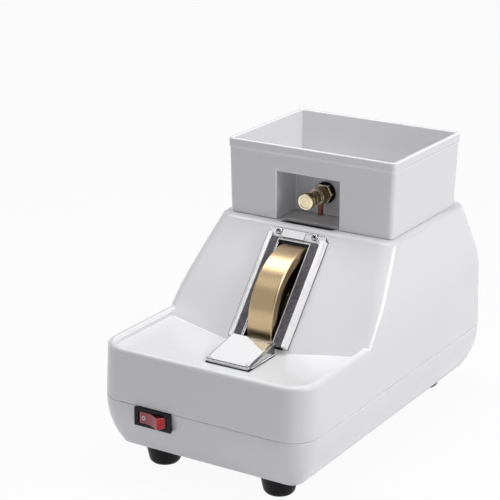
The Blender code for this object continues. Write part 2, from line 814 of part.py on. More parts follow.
def foot_places():
    places = {}
    for row, y in (("front", FRONT + FOOT_END_INSET), ("rear", REAR - FOOT_END_INSET)):
        for side, x in (("left", FOOT_SIDE_INSET - HALF_WIDTH), ("right", HALF_WIDTH - FOOT_SIDE_INSET)):
            places[row + "_" + side] = (x, y)
    return places


def plate_post_places():
    half = PLATE_WIDTH / 2 - PLATE_POST_INSET
    front = PLATE_FRONT_Y + PLATE_POST_INSET
    rear = PLATE_REAR_Y - PLATE_POST_INSET
    return [(-half, front), (half, front), (-half, rear), (half, rear)]


def lower_shell():
    shell = loft("lower_shell", tub(0.0, SEAM - GAP / 2, UNDERSIDE))
    hollow = tub(WALL, SEAM - GAP / 2, FLOOR_TOP)
    hollow[0] = [(x, y, z + OVERRUN) for x, y, z in hollow[0]]
    cut(shell, loft("hollow", hollow))
    for x, y in post_places().values():
        join(shell, cylinder("post", "Z", (x, y, 0.0), UNDERSIDE + WALL / 2, SEAM - GAP / 2, POST_RADIUS,
                             SMALL_STEPS))
        cut(shell, cylinder("screw_hole", "Z", (x, y, 0.0), UNDERSIDE - OVERRUN, SEAM + OVERRUN,
                            POST_SCREW_RADIUS + GAP, SMALL_STEPS))
        cut(shell, cylinder("head_hole", "Z", (x, y, 0.0), UNDERSIDE - OVERRUN, UNDERSIDE + POST_COUNTERBORE_DEPTH,
                            POST_HEAD_RADIUS + GAP, SMALL_STEPS))
    for x, y in plate_post_places():
        join(shell, cylinder("plate_post", "Z", (x, y, 0.0), UNDERSIDE + WALL / 2, PLATE_BOTTOM - GAP,
                             PLATE_POST_RADIUS, SMALL_STEPS))
    for x, y in foot_places().values():
        cut(shell, cylinder("foot_hole", "Z", (x, y, 0.0), UNDERSIDE - OVERRUN, FLOOR_TOP + OVERRUN,
                            FOOT_SCREW_RADIUS + GAP, SMALL_STEPS))
    half = SWITCH_BODY_WIDTH / 2 + GAP
    cut(shell, box("switch_notch", (SWITCH_PLACE - half, FRONT - OVERRUN, SWITCH_Z - SWITCH_BODY_HEIGHT / 2 - GAP),
                   (SWITCH_PLACE + half, FRONT + BASE_INSET, SEAM + OVERRUN)))
    pad_width = INLET_WIDTH + INLET_PAD_MARGIN * 2
    pad_height = INLET_HEIGHT + INLET_PAD_MARGIN * 2
    join(shell, inlet_box("inlet_pad", pad_width, pad_height, REAR - BASE_INSET + WALL, REAR))
    cut(shell, inlet_box("inlet_hole", INLET_BODY_WIDTH + GAP * 2, INLET_BODY_HEIGHT + GAP * 2,
                         REAR - BASE_INSET - WALL, REAR + OVERRUN))
    cut(shell, cylinder("drain_hole", "Z", (0.0, WHEEL_Y, 0.0), UNDERSIDE - OVERRUN, FLOOR_TOP + OVERRUN,
                        DRAIN_RADIUS + GAP))
    for i in range(SLOTS):
        x = (i - (SLOTS - 1) / 2) * SLOT_PITCH
        y = MOTOR_Y - SLOT_AHEAD_OF_MOTOR
        cut(shell, box("slot", (x - SLOT_WIDTH / 2, y - SLOT_LENGTH / 2, UNDERSIDE - OVERRUN),
                       (x + SLOT_WIDTH / 2, y + SLOT_LENGTH / 2, FLOOR_TOP + OVERRUN)))
    return piece(shell, "white_plastic", (0.0, 0.0, UNDERSIDE))


def feet():
    for name, (x, y) in foot_places().items():
        top = UNDERSIDE - GAP
        profile = [
            (0.0, FOOT_BASE_RADIUS - FOOT_EDGE_ROUND),
            (FOOT_EDGE_ROUND / 2, FOOT_BASE_RADIUS - FOOT_EDGE_ROUND / 4),
            (FOOT_EDGE_ROUND, FOOT_BASE_RADIUS),
            (top, FOOT_TOP_RADIUS),
            (top, FOOT_SCREW_RADIUS + GAP),
            (FOOT_COUNTERBORE, FOOT_SCREW_RADIUS + GAP),
            (FOOT_COUNTERBORE, FOOT_HEAD_RADIUS + GAP),
            (0.0, FOOT_HEAD_RADIUS + GAP),
        ]
        foot = turned("foot_" + name, "Z", (x, y, 0.0), profile, TURN_STEPS, is_ring=True)
        piece(foot, "rubber", (x, y, UNDERSIDE))
        seat = FOOT_COUNTERBORE - GAP
        screw = turned("foot_screw_" + name, "Z", (x, y, 0.0), [
            (seat - FOOT_HEAD_HEIGHT, FOOT_HEAD_RADIUS),
            (seat, FOOT_HEAD_RADIUS),
            (seat, FOOT_SCREW_RADIUS),
            (seat + FOOT_SCREW_LENGTH, FOOT_SCREW_RADIUS),
        ], SCREW_STEPS)
        piece(screw, "steel", (x, y, seat))


def shell_screws():
    for name, (x, y) in post_places().items():
        seat = UNDERSIDE + POST_COUNTERBORE_DEPTH - GAP
        screw = turned("shell_screw_" + name, "Z", (x, y, 0.0), [
            (seat - POST_HEAD_HEIGHT, POST_HEAD_RADIUS),
            (seat, POST_HEAD_RADIUS),
            (seat, POST_SCREW_RADIUS),
            (SEAM + POST_SCREW_GRIP, POST_SCREW_RADIUS),
        ], SCREW_STEPS)
        piece(screw, "steel", (x, y, seat))


def tank_rings(inset, levels):
    rings = []
    for level, swell in levels:
        draft = TANK_DRAFT * (TANK_TOP - level) / TANK_HEIGHT
        pull = inset + draft - swell
        rings.append(plan_ring(TANK_WIDTH / 2 - pull, TANK_FRONT_Y + pull, TANK_REAR_Y - pull, TANK_RADIUS - inset,
                               TANK_RADIUS - inset, level))
    return rings


def recess_box(name, grow, low, high, front):
    half = RECESS_WIDTH / 2 + grow
    return box(name, (RECESS_SHIFT - half, front, low), (RECESS_SHIFT + half, RECESS_WALL_Y + grow, high))


def water_tank():
    lip = TANK_TOP - TANK_LIP_HEIGHT
    outer = loft("water_tank", tank_rings(0.0, [(TANK_FOOT, 0.0), (lip - TANK_LIP, 0.0), (lip, TANK_LIP),
                                                (TANK_TOP, TANK_LIP)]))
    floor = TANK_FOOT + TANK_WALL
    hollow = loft("hollow", tank_rings(TANK_WALL, [(floor, 0.0), (TANK_TOP + OVERRUN, 0.0)]))
    roof = TANK_FOOT + RECESS_HEIGHT
    front = TANK_FRONT_Y - OVERRUN
    cut(hollow, recess_box("recess_wall", TANK_WALL, TANK_FOOT - OVERRUN, roof + TANK_WALL, front))
    cut(outer, hollow, recess_box("recess", 0.0, TANK_FOOT - OVERRUN, roof, front))
    cut(outer, cylinder("valve_hole", "Y", (VALVE_PLACE_X, 0.0, VALVE_Z), RECESS_WALL_Y - OVERRUN,
                        RECESS_WALL_Y + TANK_WALL + OVERRUN, VALVE_THREAD_RADIUS + GAP))
    for side in (-1, 1):
        cut(outer, tank_hole(side, TANK_FOOT))
        x, y = tank_screw_place(side)
        label = "left" if side < 0 else "right"
        seat = floor + GAP
        screw = turned("tank_screw_" + label, "Z", (x, y, 0.0), [
            (TOP - SMALL_SCREW_LENGTH + TANK_WALL, SMALL_SCREW_RADIUS),
            (seat, SMALL_SCREW_RADIUS),
            (seat, SMALL_HEAD_RADIUS),
            (seat + SMALL_HEAD_HEIGHT, SMALL_HEAD_RADIUS),
        ], SCREW_STEPS)
        piece(screw, "steel", (x, y, seat))
    return piece(outer, "white_plastic", (0.0, (TANK_FRONT_Y + TANK_REAR_Y) / 2, TANK_FOOT))


def drip_valve():
    """Turned valve through the back wall of the notch. Stem and knob screw in and out in front."""
    centre = (VALVE_PLACE_X, 0.0, VALVE_Z)
    washer_back = RECESS_WALL_Y - GAP
    washer_front = washer_back - WASHER_THICKNESS
    clear = VALVE_THREAD_RADIUS + GAP
    washer = tube("valve_washer", "Y", centre, washer_front, washer_back, WASHER_RADIUS, clear)
    piece(washer, "rubber", (VALVE_PLACE_X, washer_front, VALVE_Z))
    nut_back = washer_front - GAP
    nut_front = nut_back - LOCKNUT_THICKNESS
    nut = hexagon("valve_locknut", "Y", centre, nut_front, nut_back, LOCKNUT_FLATS)
    cut(nut, cylinder("bore", "Y", centre, nut_front - OVERRUN, nut_back + OVERRUN, clear))
    piece(nut, "brass", (VALVE_PLACE_X, nut_front, VALVE_Z))

    inside = RECESS_WALL_Y + TANK_WALL + GAP
    inner_end = inside + INNER_NUT_THICKNESS
    inner = hexagon("valve_inner_nut", "Y", centre, inside, inner_end, INNER_NUT_FLATS)
    cut(inner, cylinder("bore", "Y", centre, inside - OVERRUN, inner_end + OVERRUN, clear))
    piece(inner, "brass", (VALVE_PLACE_X, inside, VALVE_Z))

    collar_back = nut_front - GAP
    collar_front = collar_back - VALVE_COLLAR_LENGTH
    knob_back = KNOB_FRONT_Y + KNOB_LENGTH
    barrel_front = knob_back + VALVE_NECK_GAP
    neck_back = barrel_front + VALVE_NECK_LENGTH
    groove = (collar_front - neck_back) / 5
    profile = [(inner_end + VALVE_NECK_GAP, VALVE_THREAD_RADIUS)]
    profile += [(collar_back, VALVE_THREAD_RADIUS), (collar_back, VALVE_COLLAR_RADIUS)]
    profile += [(collar_front, VALVE_COLLAR_RADIUS), (collar_front, VALVE_BARREL_RADIUS)]
    for step, radii in ((1, (VALVE_BARREL_RADIUS, VALVE_NECK_RADIUS)), (2, (VALVE_NECK_RADIUS, VALVE_BARREL_RADIUS))):
        profile += [(collar_front - groove * step, radius) for radius in radii]
    profile += [(neck_back, VALVE_BARREL_RADIUS), (neck_back, VALVE_NECK_RADIUS)]
    profile += [(barrel_front, VALVE_NECK_RADIUS)]
    body = turned("valve_body", "Y", centre, profile, TURN_STEPS)
    bore_end = barrel_front + VALVE_BORE_DEPTH
    stem_bore = STEM_RADIUS + GAP
    cut(body, cylinder("stem_bore", "Y", centre, barrel_front - OVERRUN, bore_end, stem_bore, SMALL_STEPS))
    spout_y = collar_back - SPOUT_RADIUS
    spout_top = VALVE_Z - VALVE_COLLAR_RADIUS - GAP
    outlet = (VALVE_PLACE_X, spout_y, 0.0)
    cut(body, cylinder("outlet", "Z", outlet, spout_top - OVERRUN, VALVE_Z, SPOUT_BORE, SMALL_STEPS))
    piece(body, "brass", (VALVE_PLACE_X, collar_back, VALVE_Z))
    spout = tube("valve_spout", "Z", outlet, spout_top - SPOUT_LENGTH, spout_top, SPOUT_RADIUS, SPOUT_BORE,
                 SMALL_STEPS)
    piece(spout, "copper", (VALVE_PLACE_X, spout_y, spout_top))

    axis = axis_empty("valve_axis", (VALVE_PLACE_X, KNOB_FRONT_Y, VALVE_Z))
    socket = KNOB_LENGTH / 2
    stem_front = KNOB_FRONT_Y + socket + GAP
    stem = cylinder("valve_stem", "Y", centre, stem_front, bore_end - GAP, STEM_RADIUS, SMALL_STEPS)
    piece(stem, "brass", (VALVE_PLACE_X, KNOB_FRONT_Y + socket, VALVE_Z), parent=axis)
    edge = KNOB_RADIUS / 10
    rim = KNOB_RADIUS / 8
    knob = turned("valve_knob", "Y", centre, [
        (KNOB_FRONT_Y, KNOB_RADIUS - edge),
        (KNOB_FRONT_Y + edge, KNOB_RADIUS),
        (KNOB_FRONT_Y + socket, KNOB_RADIUS),
        (KNOB_FRONT_Y + socket, KNOB_RADIUS - rim),
        (KNOB_FRONT_Y + socket + rim, KNOB_RADIUS - rim),
        (KNOB_FRONT_Y + socket + rim, KNOB_RADIUS),
        (knob_back - edge, KNOB_RADIUS),
        (knob_back, KNOB_RADIUS - edge),
    ], TURN_STEPS)
    cut(knob, cylinder("socket", "Y", centre, KNOB_FRONT_Y + socket, knob_back + OVERRUN, stem_bore,
                       SMALL_STEPS))
    piece(knob, "brass", (VALVE_PLACE_X, KNOB_FRONT_Y, VALVE_Z), parent=axis)


def guard_outline():
    """The guard's outline on the slope, with its two upper corners rounded."""
    half = GUARD_WIDTH / 2
    outline = [(-half, GUARD_LOW), (half, GUARD_LOW)]
    for side, start in ((1, 0.0), (-1, math.pi / 2)):
        for i in range(ROUND_STEPS + 1):
            angle = start + math.pi / 2 * i / ROUND_STEPS
            outline.append((side * (half - GUARD_CORNER_RADIUS) + GUARD_CORNER_RADIUS * math.cos(angle),
                            GUARD_HIGH - GUARD_CORNER_RADIUS + GUARD_CORNER_RADIUS * math.sin(angle)))
    return outline


def splash_guard():
    guard = slope_prism("splash_guard", guard_outline(), GAP, GUARD_HEIGHT)
    under = GUARD_HEIGHT - GUARD_PLATE
    cut(guard, slope_box("cavity", WINDOW_WIDTH / 2, GUARD_LOW - OVERRUN, WINDOW_HIGH, -OVERRUN, under))
    cut(guard, slope_box("slot", GUARD_SLOT_WIDTH / 2, GUARD_LOW - OVERRUN, GUARD_SLOT_HIGH, under - OVERRUN,
                         GUARD_HEIGHT + OVERRUN))
    for side in (-1, 1):
        x = side * GUARD_SCREW_SPACING / 2
        cut(guard, slope_cylinder("hole", x, GUARD_SCREW_PLACE, -OVERRUN, GUARD_HEIGHT + OVERRUN,
                                  SMALL_SCREW_RADIUS + GAP))
        label = "left" if side < 0 else "right"
        screw = slope_screw("guard_screw_" + label, x, GUARD_SCREW_PLACE, GUARD_HEIGHT + GAP, SMALL_SCREW_RADIUS,
                            SMALL_HEAD_RADIUS, SMALL_HEAD_HEIGHT, SMALL_SCREW_LENGTH)
        piece(screw, "steel", on_slope(x, GUARD_SCREW_PLACE, GUARD_HEIGHT))
    piece(guard, "clear_plastic", on_slope(0.0, GUARD_LOW, 0.0))
    middle = GUARD_HIGH - GUARD_LABEL_INSET
    low = middle - GUARD_LABEL_HEIGHT / 2
    high = middle + GUARD_LABEL_HEIGHT / 2
    left = GUARD_LABEL_SHIFT - GUARD_LABEL_WIDTH / 2
    right = GUARD_LABEL_SHIFT + GUARD_LABEL_WIDTH / 2
    corners = [(left, low), (right, low), (right, high), (left, high)]
    level = GUARD_HEIGHT + GAP
    label = slope_prism("guard_label", corners, level, level + LABEL_THICKNESS)
    piece(label, "label", on_slope(GUARD_LABEL_SHIFT, middle, GUARD_HEIGHT))


def front_rest():
    """Clear wedge that stands on the tray floor in front of the window, open underneath and behind."""
    half = REST_WIDTH / 2
    front = REST_FRONT_Y
    back = REST_BACK_Y
    strip_low = TRAY_LOW + GAP
    strip_high = strip_low + STRIP_THICKNESS
    low = strip_high + GAP
    front_top = TRAY_LOW + REST_FRONT_RISE + GAP
    back_top = TRAY_LOW + REST_BACK_RISE
    outline = [(front, low), (back, low), (back, back_top), (front, front_top)]
    wedge = prism("front_rest", outline, "X", -half, half)
    slope = (back_top - front_top) / (back - front)
    lip = REST_SCREW_INSET * 2
    inner_front = front + lip
    inner_low = front_top + slope * lip - REST_WALL
    inner_back = back_top - REST_WALL + slope * OVERRUN
    hollow = prism("hollow", [
        (inner_front, low - OVERRUN), (back + OVERRUN, low - OVERRUN), (back + OVERRUN, inner_back),
        (inner_front, inner_low),
    ], "X", REST_WALL - half, half - REST_WALL)
    cut(wedge, hollow)
    strip_half = half + STRIP_LEDGE
    strip = box("rest_seal", (-strip_half, front - STRIP_LEDGE, strip_low), (strip_half, back, strip_high))
    cut(strip, box("open", (REST_WALL - half, inner_front, strip_low - OVERRUN),
                   (half - REST_WALL, back + OVERRUN, strip_high + OVERRUN)))
    for side in (-1, 1):
        x, y = rest_screw_place(side)
        for target in wedge, strip:
            cut(target, cylinder("hole", "Z", (x, y, 0.0), strip_low - OVERRUN, back_top + OVERRUN,
                                 REST_SCREW_RADIUS + GAP, SMALL_STEPS))
        seat = front_top + slope * (REST_SCREW_INSET + REST_SCREW_HEAD) + GAP
        label = "left" if side < 0 else "right"
        screw = turned("rest_screw_" + label, "Z", (x, y, 0.0), [
            (seat - REST_SCREW_LENGTH, REST_SCREW_RADIUS),
            (seat, REST_SCREW_RADIUS),
            (seat, REST_SCREW_HEAD),
            (seat + REST_SCREW_HEAD_HEIGHT, REST_SCREW_HEAD),
        ], SCREW_STEPS)
        piece(screw, "steel", (x, y, seat))
    piece(wedge, "clear_plastic", (0.0, front, low))
    piece(strip, "rubber", (0.0, front, strip_low))

    def on_rest(x, y, raise_by):
        return (x, y, front_top + slope * (y - front) + raise_by)

    sheet_front = front + lip
    sheet_back = back - REST_LABEL_MARGIN
    width = half - REST_LABEL_MARGIN
    cut_x = -width + 2 * width * REST_LABEL_CUT_ACROSS_SHARE
    cut_y = sheet_front + (sheet_back - sheet_front) * (1 - REST_LABEL_CUT_ALONG_SHARE)
    outline = [(-width, sheet_front), (width, sheet_front), (width, cut_y), (cut_x, sheet_back),
               (-width, sheet_back)]
    low_ring = [on_rest(x, y, GAP) for x, y in outline]
    high_ring = [on_rest(x, y, GAP + LABEL_THICKNESS) for x, y in outline]
    piece(loft("rest_label", [low_ring, high_ring]), "label", (0.0, sheet_front, low_ring[0][2]))


def power_switch():
    face = FRONT - GAP - SWITCH_FRAME
    back = FRONT - GAP
    low = SWITCH_Z - SWITCH_HEIGHT / 2
    half = SWITCH_WIDTH / 2
    body = box("switch_body", (SWITCH_PLACE - half, face, low), (SWITCH_PLACE + half, back, low + SWITCH_HEIGHT))
    inner_half = SWITCH_BODY_WIDTH / 2
    inner_low = SWITCH_Z - SWITCH_BODY_HEIGHT / 2
    end = back + SWITCH_BODY_DEPTH
    join(body, box("body", (SWITCH_PLACE - inner_half, back - SWITCH_FRAME / 2, inner_low),
                   (SWITCH_PLACE + inner_half, end, inner_low + SWITCH_BODY_HEIGHT)))
    pocket_half = ROCKER_WIDTH / 2 + GAP * 3
    pocket_rise = ROCKER_HEIGHT / 2 + GAP
    cut(body, box("pocket", (SWITCH_PLACE - pocket_half, face - OVERRUN, SWITCH_Z - pocket_rise),
                  (SWITCH_PLACE + pocket_half, face + ROCKER_POCKET_DEPTH, SWITCH_Z + pocket_rise)))
    for share in (-1, 0, 1):
        x = SWITCH_PLACE + share * SWITCH_BODY_WIDTH / 3
        join(body, box("tab", (x - TAB_THICKNESS / 2, end - OVERRUN, SWITCH_Z - TAB_WIDTH / 2),
                       (x + TAB_THICKNESS / 2, end + TAB_LENGTH, SWITCH_Z + TAB_WIDTH / 2)))
    piece(body, "black_plastic", (SWITCH_PLACE, back, SWITCH_Z))

    pivot = axis_empty("rocker_axis", (SWITCH_PLACE, FRONT - GAP * 3, SWITCH_Z))
    reach = ROCKER_WIDTH / 2
    side = ROCKER_VALLEY / 2
    edge = side - ROCKER_VALLEY
    outline = [(-reach, side), (-reach, edge), (-ROCKER_RIDGE_PLACE, -ROCKER_RIDGE), (0.0, -ROCKER_VALLEY),
               (ROCKER_RIDGE_PLACE, -ROCKER_RIDGE), (reach, edge), (reach, side), (reach / 2, ROCKER_RIDGE),
               (-reach / 2, ROCKER_RIDGE)]
    turned_outline = []
    for x, y in outline:
        swing = -ROCKER_THROW / 2
        turned_outline.append((pivot.location.x + x * math.cos(swing) - y * math.sin(swing),
                               pivot.location.y + x * math.sin(swing) + y * math.cos(swing)))
    half = ROCKER_HEIGHT / 2
    rocker = prism("switch_rocker", turned_outline, "Z", SWITCH_Z - half, SWITCH_Z + half)
    piece(rocker, "red_plastic", pivot.location, parent=pivot)


def chamber_outline(radius, top, inset):
    """Side view of the splash chamber: under the slope and the flat top, round the wheel below."""
    shift = (WALL + GAP + inset) / math.sin(SLOPE_ANGLE)
    step = TRAY_LOW - WALL - GAP - inset
    points = [(slope_at(top) + shift, top), (slope_at(step) + shift, step)]
    start = math.pi - math.asin((step - WHEEL_Z) / radius)
    end = math.tau
    for i in range(TURN_STEPS + 1):
        angle = start + (end - start) * i / TURN_STEPS
        points.append((WHEEL_Y + radius * math.cos(angle), WHEEL_Z + radius * math.sin(angle)))
    points.append((WHEEL_Y + radius, top))
    return points


def splash_chamber():
    half = CHAMBER_WIDTH / 2
    ceiling = TOP - WALL - CHAMBER_TOP_GAP
    outer = prism("splash_chamber", chamber_outline(CHAMBER_RADIUS + CHAMBER_WALL, ceiling, 0.0), "X", -half, half)
    inner_half = half - CHAMBER_WALL
    cut(outer, prism("hollow", chamber_outline(CHAMBER_RADIUS, ceiling - CHAMBER_WALL, CHAMBER_WALL), "X",
                     -inner_half, inner_half))
    mouth_reach = CHAMBER_WALL + WALL
    cut(outer, slope_box("mouth", inner_half, WINDOW_LOW, WINDOW_HIGH, -WALL - GAP - mouth_reach, OVERRUN))
    front = TANK_FRONT_Y - DRIP_OPENING_SETBACK
    cut(outer, box("drip", (-inner_half, front, ceiling - CHAMBER_WALL - OVERRUN),
                   (inner_half, front + DRIP_OPENING_DEPTH, ceiling + OVERRUN)))
    cut(outer, cylinder("clearance", "X", (0.0, WHEEL_Y, WHEEL_Z), -GUARD_SLOT_WIDTH / 2, GUARD_SLOT_WIDTH / 2,
                        WHEEL_RADIUS + WHEEL_CLEARANCE, WHEEL_STEPS))
    cut(outer, cylinder("spindle_hole", "X", (0.0, WHEEL_Y, WHEEL_Z), -half - OVERRUN, -inner_half + OVERRUN,
                        SEAL_RADIUS - CHAMBER_WALL / 2))
    bottom = WHEEL_Z - CHAMBER_RADIUS - CHAMBER_WALL
    cut(outer, cylinder("drain_hole", "Z", (0.0, WHEEL_Y, 0.0), bottom - OVERRUN, bottom + CHAMBER_WALL + OVERRUN,
                        DRAIN_BORE))
    piece(outer, "dark_plastic", (0.0, WHEEL_Y, WHEEL_Z))
    flange_top = bottom - GAP
    spigot = turned("drain_spigot", "Z", (0.0, WHEEL_Y, 0.0), [
        (UNDERSIDE - DRAIN_REACH, DRAIN_BORE),
        (UNDERSIDE - DRAIN_REACH, DRAIN_RADIUS),
        (flange_top - DRAIN_FLANGE_THICKNESS, DRAIN_RADIUS),
        (flange_top - DRAIN_FLANGE_THICKNESS, DRAIN_FLANGE_RADIUS),
        (flange_top, DRAIN_FLANGE_RADIUS),
        (flange_top, DRAIN_BORE),
    ], TURN_STEPS, is_ring=True)
    piece(spigot, "dark_plastic", (0.0, WHEEL_Y, flange_top))
    seal = tube("spindle_seal", "X", (0.0, WHEEL_Y, WHEEL_Z), -half - GAP - SEAL_THICKNESS, -half - GAP,
                SEAL_RADIUS, SPINDLE_RADIUS + SHAFT_CLEARANCE)
    piece(seal, "rubber", (-half, WHEEL_Y, WHEEL_Z))


def grinding_wheel(axis):
    centre = (0.0, WHEEL_Y, WHEEL_Z)
    half = WHEEL_WIDTH / 2
    web = WHEEL_WEB / 2
    bore = SPINDLE_RADIUS + GAP
    inner = WHEEL_RADIUS - WHEEL_RIM_THICKNESS
    fillet = WHEEL_RIM_THICKNESS / 3
    profile = []
    for side in (-1, 1):
        edge = [
            (side * web, bore),
            (side * web, inner - fillet),
            (side * (web + fillet), inner),
            (side * half, inner),
            (side * half, WHEEL_RADIUS - WHEEL_CHAMFER),
            (side * (half - WHEEL_CHAMFER), WHEEL_RADIUS),
        ]
        profile += edge if side < 0 else edge[::-1]
    wheel = turned("grinding_wheel", "X", centre, profile, WHEEL_STEPS, is_ring=True)
    piece(wheel, "wheel_bronze", centre, parent=axis)
    flange_start = web + GAP
    for side, name in ((-1, "wheel_flange_inner"), (1, "wheel_flange_outer")):
        near = side * flange_start
        far = side * (flange_start + FLANGE_THICKNESS)
        flange = turned(name, "X", centre, [
            (near, bore), (near, FLANGE_RADIUS), (far - side * FLANGE_THICKNESS / 2, FLANGE_RADIUS),
            (far, FLANGE_RADIUS - FLANGE_THICKNESS / 2), (far, bore),
        ], TURN_STEPS, is_ring=True)
        piece(flange, "steel", centre, parent=axis)
    nut_start = flange_start + FLANGE_THICKNESS + GAP
    nut = hexagon("wheel_nut", "X", centre, nut_start, nut_start + NUT_THICKNESS, NUT_FLATS)
    cut(nut, cylinder("bore", "X", centre, nut_start - OVERRUN, nut_start + NUT_THICKNESS + OVERRUN, bore))
    piece(nut, "steel", centre, parent=axis)
    shaft_end = nut_start + NUT_THICKNESS + SPINDLE_RADIUS / 4
    pulley_end = -PULLEY_PLACE - PULLEY_WIDTH / 2
    spindle = cylinder("spindle", "X", centre, pulley_end - SPINDLE_RADIUS / 6, shaft_end, SPINDLE_RADIUS)
    piece(spindle, "steel", centre, parent=axis)
    pulley("spindle_pulley", centre, SPINDLE_PULLEY_RADIUS, SPINDLE_RADIUS, axis)


def pulley(name, centre, radius, shaft_radius, axis):
    start = -PULLEY_PLACE - PULLEY_WIDTH / 2
    end = -PULLEY_PLACE + PULLEY_WIDTH / 2
    rise = radius + PULLEY_FLANGE_RISE
    bore = shaft_radius + GAP
    made = turned(name, "X", centre, [
        (start, bore), (start, rise), (start + PULLEY_FLANGE, rise), (start + PULLEY_FLANGE, radius),
        (end - PULLEY_FLANGE, radius), (end - PULLEY_FLANGE, rise), (end, rise), (end, bore),
    ], TURN_STEPS, is_ring=True)
    return piece(made, "aluminium", centre, parent=axis)


def spindle_housing():
    """Bearing housing on a pedestal, left of the splash chamber, with a ball bearing in each end."""
    centre = (0.0, WHEEL_Y, WHEEL_Z)
    near = -HOUSING_NEAR
    far = near - HOUSING_LENGTH
    seat = BEARING_RADIUS + GAP
    shoulder = BEARING_RADIUS - WALL
    depth = BEARING_THICKNESS + GAP
    body = turned("spindle_housing", "X", centre, [
        (far, seat), (far, HOUSING_RADIUS), (near, HOUSING_RADIUS), (near, seat),
        (near - depth, seat), (near - depth, shoulder), (far + depth, shoulder), (far + depth, seat),
    ], TURN_STEPS, is_ring=True)
    middle = (near + far) / 2
    foot_low = PLATE_TOP + GAP
    pedestal = HOUSING_PEDESTAL_DEPTH / 2
    half = HOUSING_FOOT_WIDTH / 2
    join(body, box("pedestal", (middle - half + WALL, WHEEL_Y - pedestal, foot_low),
                   (middle + half - WALL, WHEEL_Y + pedestal, WHEEL_Z - seat - GAP * 3)))
    join(body, box("foot", (middle - half, WHEEL_Y - HOUSING_FOOT_DEPTH / 2, foot_low),
                   (middle + half, WHEEL_Y + HOUSING_FOOT_DEPTH / 2, foot_low + HOUSING_FOOT_THICKNESS)))
    piece(body, "iron", (middle, WHEEL_Y, foot_low))
    for name, start in (("bearing_near", near - BEARING_THICKNESS), ("bearing_far", far)):
        ring = tube(name, "X", centre, start, start + BEARING_THICKNESS, BEARING_RADIUS,
                    SPINDLE_RADIUS + SHAFT_CLEARANCE)
        piece(ring, "steel", (start, WHEEL_Y, WHEEL_Z))


def belt_loop(offset):
    """Outline of an open belt round both pulleys, at an offset from their faces, from the side."""
    wheel = Vector((WHEEL_Y, WHEEL_Z))
    motor = Vector((MOTOR_Y, MOTOR_Z))
    span = motor - wheel
    heading = math.atan2(span.y, span.x)
    lean = math.asin((SPINDLE_PULLEY_RADIUS - MOTOR_PULLEY_RADIUS) / span.length)
    outline = []
    for centre, radius, start, end in (
        (wheel, SPINDLE_PULLEY_RADIUS + offset, heading + math.pi / 2 - lean, heading + math.pi * 3 / 2 + lean),
        (motor, MOTOR_PULLEY_RADIUS + offset, heading - math.pi / 2 + lean, heading + math.pi / 2 - lean),
    ):
        for i in range(SMALL_STEPS + 1):
            angle = start + (end - start) * i / SMALL_STEPS
            outline.append((centre.x + radius * math.cos(angle), centre.y + radius * math.sin(angle)))
    return outline


def drive_belt():
    start = -PULLEY_PLACE - BELT_WIDTH / 2
    end = -PULLEY_PLACE + BELT_WIDTH / 2
    belt = prism("drive_belt", belt_loop(GAP + BELT_THICKNESS), "X", start, end)
    cut(belt, prism("inside", belt_loop(GAP), "X", start - OVERRUN, end + OVERRUN))
    piece(belt, "rubber", (-PULLEY_PLACE, WHEEL_Y, WHEEL_Z))


